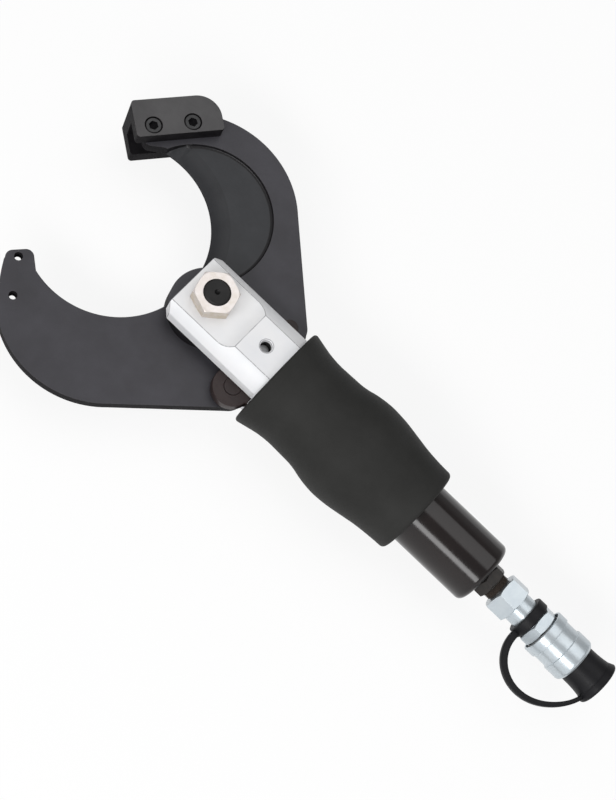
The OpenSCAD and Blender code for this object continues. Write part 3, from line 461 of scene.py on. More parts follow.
def turned_steel(look):
    """Turned bar with fine feed marks round the axis."""
    return finish("turned_bright_bar_steel", look.turned, look.turned_drift, patch=10, grain=0.4,
                  depth=0.004, rough=0.3, spread=0.06, stretch=(1, 0.1, 0.1), metal=1.0)


def chromed_rod(look):
    """Ground rod under hard chrome: mirror-like with a trace of grinding."""
    return finish("hard_chromed_rod_steel", look.chrome, look.chrome_drift, patch=14, grain=0.3,
                  depth=0.001, rough=0.1, spread=0.03, stretch=(1, 0.1, 0.1), metal=1.0)


def bearing_bronze(look):
    """Turned bearing bronze: warm yellow metal with feed marks."""
    return finish("turned_bearing_bronze", look.bronze, look.bronze_drift, patch=8, grain=0.4,
                  depth=0.004, rough=0.32, spread=0.06, stretch=(1, 0.1, 0.1), metal=1.0)


def spring_wire(look):
    """Drawn spring wire with a grey phosphate film."""
    return finish("phosphated_drawn_wire", look.wire, look.wire_drift, patch=4, grain=0.4,
                  depth=0.004, rough=0.42, spread=0.08, metal=0.6)


def nitrile(look):
    """Moulded nitrile of the seals: black, smooth and slightly oily."""
    return finish("moulded_nitrile_rubber", look.seal, look.seal_drift, patch=5, grain=0.5,
                  depth=0.003, rough=0.38, spread=0.06)


def filled_resin(look):
    """Machined fabric-filled resin of the wear ring: brown with a woven fleck."""
    return finish("machined_fabric_resin", look.resin, look.resin_drift, patch=1.2, grain=0.4,
                  depth=0.01, rough=0.5, spread=0.08)


def moulded_grip(look):
    """Dip-moulded rubber sleeve: matt near-black with a fine pebble and a dusty bloom."""
    # A pebble of about 0.3 mm is drawn 0.9 mm wide, so that it shows
    return finish("moulded_matt_rubber_sleeve", look.rubber, look.bloom, patch=34, grain=0.9,
                  depth=0.03, rough=0.62, spread=0.08, mirror=0.1)


def brown_enamel(look):
    """Stoved brown-black enamel on the cylinder: smooth, glossy, with a faint orange peel."""
    return finish("stoved_gloss_enamel", look.paint, look.paint_drift, patch=22, grain=2.4,
                  depth=0.003, rough=0.16, spread=0.02, mirror=0.45)


def blackened_adapter(look):
    """Black-oxided hydraulic fitting, oily and a little brown."""
    return finish("black_oxide_turned_fitting", look.fitting, look.fitting_drift, patch=4,
                  grain=0.5, depth=0.01, rough=0.42, spread=0.08, wear_and_edge_shade=look.fitting_drift,
                  metal=0.1, mirror=0.3)


def thread_sealant(look):
    """Dried thread sealant: brown, matt and lumpy."""
    return finish("dried_thread_sealant", look.sealant, look.sealant_drift, patch=2, grain=0.8,
                  depth=0.06, rough=0.6, spread=0.1, mirror=0.2)


def zinc_coupler(look):
    """Turned steel under blue-clear zinc: pale bluish metal with fine feed marks."""
    # Inner corners get painted shade
    return finish("blue_zinc_turned_steel", look.zinc, look.zinc_drift, patch=9, grain=0.6,
                  depth=0.0002, rough=0.3, spread=0.02, stretch=(1, 0.12, 0.12), wear_and_edge_shade=look.zinc,
                  painted_shade=look.seam, metal=0.6)


def moulded_cap(look):
    """Injection-moulded soft vinyl of the cap and strap: black satin with a fine spark texture."""
    return finish("moulded_soft_vinyl", look.plastic, look.plastic_drift, patch=9, grain=0.6,
                  depth=0.012, rough=0.48, spread=0.07, mirror=0.2)


# Settings that a user may change

class CutterBlades(bpy.types.PropertyGroup):
    """Colours and edges of the blades, the guide block and its screws."""
    plate: tint("Plate", "Blackened faces of the blades", "#39383c")
    plate_drift: tint("Plate clouds", "Second colour that clouds the blades", "#414045")
    ground: tint("Ground faces", "Relief and bevel behind the cutting edge", "#2b2c2f")
    ground_drift: tint("Ground clouds", "Second colour of the ground faces", "#323336")
    block: tint("Block", "Blackened guide block", "#464546")
    block_drift: tint("Block clouds", "Second colour of the guide block", "#504f50")
    screw: tint("Screws", "Socket screws of the guide block", "#323233")
    screw_drift: tint("Screw clouds", "Second colour of the socket screws", "#3e3e3f")
    bare: tint("Bare steel", "Steel that shows where an edge is rubbed", "#474546")
    # Near-black of painted shade on sawn sides, in slots, bores and inner corners
    shade_black: tint("Shade black", "Thick oxide in corners, slots and sawn sides", "#19181a")
    shade_black_drift: tint("Soot clouds", "Second colour of the thick oxide", "#222123")
    edge: length("Edge break", "Rounding of the blades' rubbed edges", 0.35)
    rim: length("Screw rims", "Chamfer round the heads of the socket screws", 0.8)
    corner: length("Relief corner", "Rounding where the ground relief meets its wall", 1.9)


class CutterYoke(bpy.types.PropertyGroup):
    """Colours and edges of the yoke, the bolt, the nut and the links."""
    plate: tint("Plating", "Bright plating of the yoke", "#eeeeef")
    drift: tint("Plating clouds", "Second colour of the yoke's plating", "#e5e6e9")
    # Grey of painted shade along the yoke's broken edges
    edge: tint("Yoke edge shade", "Plating on the yoke's broken edges", "#a9a9ac")
    # Darker plating of painted shade in the yoke's inner corners
    seam: tint("Corner shade", "Plating in the inner corners", "#b9b6b0")
    edge_break: length("Edge break", "Rounding of the yoke's edges", 0.6)
    flank_round: length("Flank rounding", "Rounding between turned outside and side flats", 5)
    nut: tint("Nut", "Clear zinc of the nut", "#e3dddb")
    nut_drift: tint("Nut clouds", "Second colour of the nut", "#d6cec7")
    # Darker, warmer zinc of painted shade on the nut's upright flats
    nut_side_shade: tint("Nut flats", "Yellowed zinc on the nut's flats", "#c4b7a2")
    bolt: tint("Bolt", "Blackened end of the bolt", "#1e1e1e")
    bolt_drift: tint("Bolt clouds", "Second colour of the bolt", "#252424")
    # Near-black of painted shade in the bolt's centre hole and inner corners
    hole: tint("Centre hole", "Oily hole in the bolt's end", "#060606")
    link: tint("Links", "Brown film of the links", "#2a2222")
    link_drift: tint("Link clouds", "Second colour of the links", "#322827")
    pin: tint("Pins", "Ground steel of the pins", "#a29f9b")
    pin_drift: tint("Pin clouds", "Second colour of the pins", "#8f8c88")


class CutterRam(bpy.types.PropertyGroup):
    """Colours of the ram and the other pieces inside."""
    turned: tint("Turned steel", "Fork and piston", "#a8a8a6")
    turned_drift: tint("Turned clouds", "Second colour of fork and piston", "#989896")
    chrome: tint("Chrome", "Hard chrome of the rod", "#c9c9c9")
    chrome_drift: tint("Chrome clouds", "Second colour of the rod", "#bfc0c1")
    bronze: tint("Bronze", "Bush, gland and poppet", "#b08d4a")
    bronze_drift: tint("Bronze clouds", "Second colour of the bronze", "#a17f40")
    wire: tint("Spring wire", "Phosphated wire of the springs", "#757575")
    wire_drift: tint("Wire clouds", "Second colour of the wire", "#666564")
    seal: tint("Seals", "Nitrile rubber", "#26262a")
    seal_drift: tint("Seal clouds", "Second colour of the seals", "#2d2d30")
    resin: tint("Wear ring", "Fabric-filled resin", "#6e5a3c")
    resin_drift: tint("Wear ring fleck", "Second colour of the resin", "#7f6a49")


class CutterGrip(bpy.types.PropertyGroup):
    """Shape and colours of the rubber grip and the cylinder."""
    rubber: tint("Rubber", "Moulded rubber of the grip", "#2b2b2a")
    bloom: tint("Bloom", "Dusty second colour of the rubber", "#323231")
    wave: length("Waviness", "Unevenness of the moulded rubber", 0.25)
    paint: tint("Enamel", "Brown-black enamel of the cylinder", "#150f0f")
    paint_drift: tint("Enamel clouds", "Second colour of the enamel", "#1b1413")


class CutterCoupler(bpy.types.PropertyGroup):
    """Colours and sizes of the inlet, the coupler, the dust cap and its strap."""
    zinc: tint("Zinc", "Blue-clear zinc of the coupler", "#c6ced3")
    zinc_drift: tint("Zinc clouds", "Second colour of the zinc", "#bdc6cc")
    # Darker zinc of painted shade in the coupler's inner corners
    seam: tint("Corner shade", "Zinc in the inner corners", "#7f868b")
    fitting: tint("Fitting", "Blackened inlet adapter", "#252322")
    fitting_drift: tint("Fitting clouds", "Second colour of the adapter", "#302c29")
    sealant: tint("Sealant", "Dried sealant on the threads", "#39332f")
    sealant_drift: tint("Sealant lumps", "Second colour of the sealant", "#463e38")
    plastic: tint("Cap", "Soft plastic of the cap and strap", "#101013")
    plastic_drift: tint("Cap clouds", "Second colour of the plastic", "#151518")
    edge: length("Edge break", "Rounding of the coupler's edges", 0.3)
    strap_thick: length("Strap at the coupler", "Thickness of the strap's first end", 4.8)
    strap_thin: length("Strap at the cap", "Thickness of the strap's other end", 2.5)


class CutterStage(bpy.types.PropertyGroup):
    """Floor, light and view of the picture."""
    floor: tint("Floor", "Pale floor under the part", "#fcfcfc")
    shown: bpy.props.FloatProperty(
        name="Floor whiteness", subtype="FACTOR", min=0, max=1, default=0.85,
        description="Share of plain white in the floor as the camera sees it")
    world: bpy.props.FloatProperty(
        name="Room light", description="Strength of the even light from all round", min=0,
        default=0.36)
    far: bpy.props.FloatProperty(
        name="Far side", subtype="FACTOR", min=0, max=1, default=0.45,
        description="Share of the room light that a dark card leaves on the far side")
    key: bpy.props.FloatProperty(
        name="Strip light", description="Power of the strip light beside the part, in watts",
        min=0, default=20)
    top: bpy.props.FloatProperty(
        name="Top light", description="Power of the large soft light above the part, in watts",
        min=0, default=20)
    tilt: bpy.props.FloatProperty(
        name="Tilt", description="Lean of the view about the part's long axis", subtype="ANGLE",
        unit="ROTATION", default=math.radians(21.5))
    roll: bpy.props.FloatProperty(
        name="Roll", description="Turn of the part in the picture", subtype="ANGLE",
        unit="ROTATION", default=math.radians(43.6))
    lens: bpy.props.FloatProperty(
        name="Lens", description="Focal length of the view", unit="CAMERA", min=10, default=76.1)


# Operators

class CUTTER_OT_blades(bpy.types.Operator):
    """Makes the two hooked blades with ground relief and rubbed edges"""
    bl_idname = "cutter.blades"
    bl_label = "Blades"

    def execute(self, context):
        look = context.scene.cutter_blades
        plate, ground, shade_black = blackened_plate(look), ground_plate(look), painted_shade_steel(look)
        materials = [plate, ground, shade_black]
        # Most upward share of the normals on sawn rims and on the wall round the relief, which get painted shade
        rim, wall = 0.2, 0.7
        # Relief and bevel lie between these heights from the plane where the blades meet
        low, high = 1.1 * MM, 7.7 * MM
        for node, body in (("upper_blade", "upper_jaw"), ("lower_blade", "lower_jaw")):
            bm = merged(node)
            self.regrind(bm)
            # The rounded corner where the relief meets its wall carries painted shade: a dark line along the wall
            rounded(bm, self.relief_border, look.corner, "painted_shade", segments=6)
            rounded(bm, self.rim, look.edge, "wear_and_edge_shade", segments=4)
            painted_shade = bm.faces.layers.float["painted_shade"]
            for face in bm.faces:
                level = abs(face.normal.z)
                # The caps at the wall's ends have more or fewer corners, and get no painted shade
                if level < rim or face[painted_shade] and level < wall and len(face.verts) == 4:
                    face.material_index = materials.index(shade_black)
                elif low < self.height(face.calc_center_median()) < high:
                    face.material_index = materials.index(ground)
            crisp(settle(bm, node + "_plate", body, materials, [node], sharp=22))
        # Thread turns in the spare holes of the lower blade, in the near-black of painted shade
        for hole in ("blade_thread_front", "blade_thread_rear"):
            bm = tapped(hole, run=6.8, pitch=0.8, base=2.46, crest=2.12, back=2.62)
            settle(bm, hole + "_turns", "lower_jaw", [shade_black])
        return {"FINISHED"}

    def height(self, spot):
        """Distance from the plane where the blades meet."""
        return abs(spot.z - PIVOT.z)

    def bevel(self, face):
        """Sloping face behind the cutting edge."""
        return 0.85 < abs(face.normal.z) < 0.95

    def regrind(self, bm):
        """Lays the bevel again in even strips, with a quarter share of painted shade that makes it a little darker
        than the relief.
        """
        bevel = {face for face in bm.faces if self.bevel(face)}
        verts = [vert for vert in bm.verts if not bevel.isdisjoint(vert.link_faces)]
        inner = [vert for vert in verts if bevel.issuperset(vert.link_faces)]
        rim = [vert for vert in verts if not bevel.issuperset(vert.link_faces)]
        bmesh.ops.dissolve_verts(bm, verts=inner)
        heights = [self.height(vert.co) for vert in rim]
        low, high, slack = min(heights), max(heights), 0.01 * MM
        edge = [vert for vert in rim if self.height(vert.co) < low + slack]
        for vert in rim:
            if self.height(vert.co) > high - slack:
                near = min(edge, key=lambda other: (other.co - vert.co).length)
                bmesh.ops.connect_verts(bm, verts=[vert, near])
        # A quarter share of painted shade darkens the bevel
        painted_shade = bm.faces.layers.float["painted_shade"]
        for face in bm.faces:
            if self.bevel(face):
                face[painted_shade] = 0.25

    def rim(self, edge):
        """Outer edge that turns by more than 26 degrees."""
        return edge.is_convex and edge.calc_face_angle() > math.radians(26)

    def relief_border(self, edge):
        """Inner corner where the relief's floor meets its wall, 6 mm from the blades' plane."""
        return not edge.is_convex and all(
            abs(self.height(vert.co) - 6 * MM) < NEAR for vert in edge.verts)


class CUTTER_OT_guide(bpy.types.Operator):
    """Makes the guide block on the upper blade's tip, with its two socket screws"""
    bl_idname = "cutter.guide"
    bl_label = "Guide block"

    def execute(self, context):
        look = context.scene.cutter_blades
        bm = merged("guide_block")
        broken(bm, look.edge * 1.4)
        self.place(bm, "guide_block", "guide_body", "block_steel",
                   [milled_block(look), painted_shade_steel(look)])
        bm = merged("guide_screws")
        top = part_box("guide_screws")[1].z - 0.01 * MM
        # The chamfer round each head's rim carries painted shade: a dark ring where the counterbore's shadow falls
        # The sockets' edges are longer than the short steps of a head's rim
        rounded(bm, lambda edge: edge.calc_length() < 1.5 * MM and all(
            vert.co.z > top for vert in edge.verts), look.rim, "painted_shade")
        broken(bm, look.edge * 0.8)
        self.place(bm, "guide_screws", "guide_socket_screws", "bolt_steel",
                   [blackened_screw(look), painted_shade_steel(look)])
        return {"FINISHED"}

    def place(self, bm, node, name, slot, materials):
        """Puts painted shade on sawn sides, bores, the slot and the sockets, and sets the piece."""
        low, high = (corner.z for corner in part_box(node))
        skin, upright = 0.6 * MM, 0.3
        for face in bm.faces:
            inside = low + skin <= face.calc_center_median().z <= high - skin
            if inside or abs(face.normal.z) < upright:
                face.material_index = 1
        crisp(settle(bm, name, "upper_jaw", materials, [node]))


class CUTTER_OT_yoke(bpy.types.Operator):
    """Makes the bright yoke with its threaded accessory hole"""
    bl_idname = "cutter.yoke"
    bl_label = "Yoke"

    def execute(self, context):
        look = context.scene.cutter_yoke
        bm = merged("yoke")
        rounded(bm, self.flank, look.flank_round, segments=8)
        bmesh.ops.dissolve_degenerate(bm, dist=STEP, edges=bm.edges)
        broken(bm, look.edge_break, self.shown, sharp=25)
        crisp(settle(bm, "yoke_fork", "head", [bright_yoke(look)], ["yoke"]))
        # Thread turns in the accessory hole, in the dark of painted shade
        bm = tapped("accessory_thread", run=6.2, pitch=1.25, base=3.36, crest=2.9, back=3.55)
        settle(bm, "yoke_thread_turns", "head", [shaded_thread(look)])
        return {"FINISHED"}

    def shown(self, edge):
        """Edge in front of the grip's lip, or a long edge of the top that runs under it."""
        a, b = (vert.co - PIVOT for vert in edge.verts)
        lip, least, top = 53 * MM, 8 * MM, 20 * MM
        return max(a.x, b.x) < lip or abs(a.x - b.x) > least and abs(a.z) > top

    def flank(self, edge):
        """Long edge where the turned outside meets a side flat."""
        a, b = (vert.co - PIVOT for vert in edge.verts)
        flat, least, top = 23 * MM, 20 * MM, 14 * MM
        return abs(a.x - b.x) > least and all(
            abs(abs(spot.y) - flat) < NEAR and abs(spot.z) > top for spot in (a, b))


class CUTTER_OT_bolt(bpy.types.Operator):
    """Makes the centre bolt, its nut and the bush round it"""
    bl_idname = "cutter.bolt"
    bl_label = "Centre bolt"

    def execute(self, context):
        look = context.scene.cutter_yoke
        bm = softened("centre_bolt", look.edge_break * 0.7)
        painted_shade = bm.faces.layers.float["painted_shade"]
        # The centre hole in the bolt's end gets the near-black of painted shade
        floor, mouth, radius = 31 * MM, 33.1 * MM, 1.6 * MM
        for face in bm.faces:
            arm = face.calc_center_median() - PIVOT
            if floor < arm.z < mouth and arm.xy.length < radius:
                face[painted_shade] = 1.0
        crisp(settle(bm, "bolt_shank", "head", [blackened_bolt(look)],
                     ["centre_bolt"]))
        bm = softened("centre_nut", look.edge_break)
        # Upright flats get the darker copy of the zinc: painted shade
        upright = 0.5
        for face in bm.faces:
            if abs(face.normal.z) < upright:
                face.material_index = 1
        crisp(settle(bm, "bolt_nut", "head", [zinc_nut(look), shaded_nut_flats(look)],
                     ["centre_nut"]))
        dress(bearing_bronze(context.scene.cutter_ram), "pivot_bush")
        return {"FINISHED"}


class CUTTER_OT_links(bpy.types.Operator):
    """Makes the two toggle links and finishes their pins"""
    bl_idname = "cutter.links"
    bl_label = "Links"

    def execute(self, context):
        look = context.scene.cutter_yoke
        film = bronzed_link(look)
        for node, body in (("upper_link", "upper_toggle"), ("lower_link", "lower_toggle")):
            bm = softened(node, look.edge_break * 1.5)
            crisp(settle(bm, node + "_forging", body, [film], [node]))
        dress(film, "upper_tail_pin", "lower_tail_pin")
        dress(ground_pin(look), "ram_pin", "piston_nut", "locking_balls")
        return {"FINISHED"}


class CUTTER_OT_ram(bpy.types.Operator):
    """Finishes the ram's pieces and winds its return spring"""
    bl_idname = "cutter.ram"
    bl_label = "Ram"

    def execute(self, context):
        look = context.scene.cutter_ram
        dress(turned_steel(look), "ram_fork", "piston")
        dress(chromed_rod(look), "piston_rod")
        dress(bearing_bronze(look), "rod_gland")
        dress(nitrile(look), "piston_seal", "rod_wiper")
        dress(filled_resin(look), "wear_ring")
        sprung("return_spring", "return_coil", spring_wire(look), mean=11.6,
               wire=2.0, turns=6)
        return {"FINISHED"}


class CUTTER_OT_grip(bpy.types.Operator):
    """Moulds the rubber grip, with a pocket each side for the blades' tails"""
    bl_idname = "cutter.grip"
    bl_label = "Rubber grip"

    def execute(self, context):
        look = context.scene.cutter_grip
        front, rear = stations("rubber_grip")
        # Radii of the bores over the cylinder, the yoke's neck and the yoke, and of the pockets
        tube, neck, yoke, pocket = 20.55, 24.85, 28.35, 30.6
        pocket_end, yoke_end, neck_end = front + 9, front + 17, front + 91
        skin = [(front, 34.45, 2.6), (front + 19, 30.2, 13), (front + 43, 30.9, 11),
                (front + 55, 34.3, 8), (front + 70, 34.1, 13), (rear - 14, 29.2, 10),
                (rear, 29, 2.6)]
        bore = [(rear, tube, 0.6), (neck_end, tube, 0), (neck_end, neck, 0), (yoke_end, neck, 0),
                (yoke_end, yoke, 0), (pocket_end, yoke, 0)]
        plain = skin + bore + [(front, yoke, 0), (front, pocket, 0)]
        hollow = skin + bore + [(pocket_end, pocket, 0), (front, pocket, 0)]
        side = [(front, yoke), (pocket_end, yoke), (pocket_end, pocket), (front, pocket)]
        # Half the angle that a pocket, 17.1 mm wide, takes at the bore
        half = math.asin(8.55 / yoke)
        beside, rest = TURN / 4, TURN / 2 - 2 * half
        bm = bmesh.new()
        # Each sweep starts from above the axis: two plain ones, and two with a pocket
        for outline, start, sweep, steps in (
                (plain, half - beside, rest, 44), (hollow, beside - half, 2 * half, 12),
                (plain, beside + half, rest, 44), (hollow, -beside - half, 2 * half, 12)):
            swing = Matrix.Rotation(start, 3, "X")
            geom = drawn(bm, outline, segments=8)
            verts = [item for item in geom if isinstance(item, bmesh.types.BMVert)]
            bmesh.ops.rotate(bm, cent=PIVOT, matrix=swing, verts=verts)
            bmesh.ops.spin(bm, geom=geom, cent=PIVOT, axis=AXIS, angle=sweep, steps=steps)
            wall = [bm.verts.new(at(behind, 0, radius)) for behind, radius in side]
            bm.faces.new(wall)
            bmesh.ops.rotate(bm, cent=PIVOT, matrix=swing, verts=wall)
        bmesh.ops.remove_doubles(bm, verts=bm.verts, dist=WELD)
        bmesh.ops.recalc_face_normals(bm, faces=bm.faces)
        # The skin lies beyond the bores, and its waves are about 24 mm long
        inside, wave = 28.8 * MM, 24 * MM
        for vert in bm.verts:
            out = Vector((0, vert.co.y - PIVOT.y, vert.co.z - PIVOT.z))
            if out.length > inside:
                vert.co += out.normalized() * look.wave * (noise.noise(vert.co / wave) - 0.4)
        settle(bm, "grip_sleeve", "head", [moulded_grip(look)], ["rubber_grip"],
               sharp=40)
        return {"FINISHED"}


class CUTTER_OT_cylinder(bpy.types.Operator):
    """Turns the enamelled cylinder with its rounded rear edge"""
    bl_idname = "cutter.cylinder"
    bl_label = "Cylinder"

    def execute(self, context):
        look = context.scene.cutter_grip
        front, rear = stations("cylinder_tube")
        bore, outside, port, end = 16, 20.5, 6.55, rear - 7
        outline = [(front, bore, 0), (front, outside, 0.4), (rear, outside, 3.6),
                   (rear, port, 0.3), (end, port, 0), (end, bore, 0)]
        settle(turned(outline, steps=128, segments=8), "cylinder_shell", "head",
               [brown_enamel(look)], ["cylinder_tube"], sharp=40)
        return {"FINISHED"}


class CUTTER_OT_inlet(bpy.types.Operator):
    """Makes the inlet adapter, its seal and the sealant on its thread"""
    bl_idname = "cutter.inlet"
    bl_label = "Inlet"

    def execute(self, context):
        look = context.scene.cutter_coupler
        crisp(settle(softened("inlet_adapter", look.edge), "inlet_fitting", "head",
                     [blackened_adapter(look)], ["inlet_adapter"]))
        dress(nitrile(context.scene.cutter_ram), "adapter_seal")
        rear, run = stations("coupler_rear")[0], 4.4
        bm = ridged(Matrix.Translation(at(rear - run)), run, pitch=0.9, base=7.6, crest=8.25,
                    back=7.2)
        settle(bm, "inlet_thread_turns", "head", [thread_sealant(look)])
        return {"FINISHED"}


class CUTTER_OT_coupler(bpy.types.Operator):
    """Makes the quick coupler: two halves, the sliding sleeve and the springs inside"""
    bl_idname = "cutter.coupler"
    bl_label = "Coupler"

    def execute(self, context):
        look, inner = context.scene.cutter_coupler, context.scene.cutter_ram
        zinc, wire = zinc_coupler(look), spring_wire(inner)
        front, rear = stations("coupler_sleeve")
        for node in ("coupler_rear", "coupler_body"):
            crisp(settle(softened(node, look.edge, front), node + "_half", "head",
                         [zinc], [node]))
        rim, waist, room, bore, mouth = 14.55, 13.65, 13.2, 11.35, 12.5
        outline = [(front, room, 0.2), (front, rim, 0.6), (front + 6.4, rim, 0.4),
                   (front + 6.4, waist, 0.3), (front + 15.6, waist, 0.3), (front + 15.6, rim, 0.5),
                   (rear - 1.6, rim, 0.8), (rear, 12.95, 0.4), (rear, mouth, 0.2),
                   (rear - 3, mouth, 0), (rear - 3, bore, 0), (front + 11.1, bore, 0),
                   (front + 11.1, room, 0)]
        settle(turned(outline), "sleeve_shell", "sleeve", [zinc],
               ["coupler_sleeve"])
        sprung("sleeve_spring", "sleeve_coil", wire, mean=11.6, wire=1.0, turns=5)
        sprung("poppet_spring", "poppet_coil", wire, mean=6.2, wire=0.5, turns=4)
        dress(wire, "retaining_ring")
        dress(bearing_bronze(inner), "coupler_poppet")
        dress(nitrile(inner), "socket_seal")
        return {"FINISHED"}


class CUTTER_OT_dust_cap(bpy.types.Operator):
    """Moulds the dust cap and the strap that ties it to the coupler"""
    bl_idname = "cutter.dust_cap"
    bl_label = "Dust cap"

    def execute(self, context):
        look = context.scene.cutter_coupler
        plastic = moulded_cap(look)
        plug, rear = stations("dust_cap")
        front, groove = plug + 5, 10.6
        outline = [(plug, 0, 0), (plug, 8.1, 0.8), (front, 8.1, 0), (front, 12, 0.7),
                   (rear - 11, 12.2, 3), (rear - 5.6, 13, 0.1), (rear - 5.6, groove, 0),
                   (rear - 2, groove, 0), (rear - 2, 14.4, 0.2), (rear - 0.9, 13.9, 0.5),
                   (rear, 8, 3), (rear, 0, 0)]
        settle(turned(outline, closed=False), "cap_plug", "cap", [plastic],
               ["dust_cap"])
        bm = self.rings()
        self.band(bm, look)
        strap = settle(bm, "strap_band", None, [plastic], ["cap_strap"], sharp=50)
        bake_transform(strap, "head", "cap", start=at(261), end=at(308))
        return {"FINISHED"}

    def rings(self):
        """Strap's two rings, in the coupler's waist and in the cap's groove."""
        bm = turned([(254, 9.55, 0.2), (254, 12.6, 0.8), (260.5, 12.6, 0.8), (260.5, 9.55, 0.2)])
        ring = turned([(308.45, 10.65, 0.2), (308.45, 13, 0.1), (311.95, 14.5, 0.2),
                       (311.95, 10.65, 0.2)])
        spare = bpy.data.meshes.new("strap_ring")
        ring.to_mesh(spare)
        ring.free()
        bm.from_mesh(spare)
        bpy.data.meshes.remove(spare)
        return bm

    def band(self, bm, look):
        """Adds the strap's curved band, which tapers from the coupler's ring to the cap's."""
        known = set(bm.verts)
        middle, bend, arc = at(283.725, -8.262), 26.74 * MM, math.radians(163.93)
        width, corner = 3.8 * MM, 0.9 * MM
        section = bmesh.ops.create_grid(bm, x_segments=1, y_segments=1, size=0.5)["verts"]
        bmesh.ops.scale(bm, vec=(look.strap_thick, width, 1), verts=section)
        bevelled(bm, section, corner, "VERTICES", 4)
        section = [vert for vert in bm.verts if vert not in known]
        start = Matrix.Translation(middle) @ Matrix.Rotation(-TURN / 4 - arc / 2, 4, "Z")
        stand = Matrix.Translation((bend, 0, 0)) @ Matrix.Rotation(TURN / 4, 4, "X")
        bmesh.ops.transform(bm, matrix=start @ stand, verts=section)
        skin = list({face for vert in section for face in vert.link_faces})
        rim = list({edge for vert in section for edge in vert.link_edges})
        bmesh.ops.delete(bm, geom=skin, context="FACES_ONLY")
        bmesh.ops.spin(bm, geom=section + rim, cent=middle, axis=(0, 0, 1), angle=arc, steps=72)
        for vert in bm.verts:
            if vert in known:
                continue
            arm = Vector((vert.co.x - middle.x, vert.co.y - middle.y, 0))
            along = (math.atan2(arm.y, arm.x) + TURN / 4 + arc / 2) / arc
            along = min(max(along, 0), 1)
            share = 1 + (look.strap_thin / look.strap_thick - 1) * along
            # The loop hangs fuller on the coupler's side
            lean = 2.0 * math.sin(math.pi * along) + 2.6 * math.sin(TURN * along)
            vert.co += arm.normalized() * ((arm.length - bend) * (share - 1) + lean * MM)
        closed_up(bm)


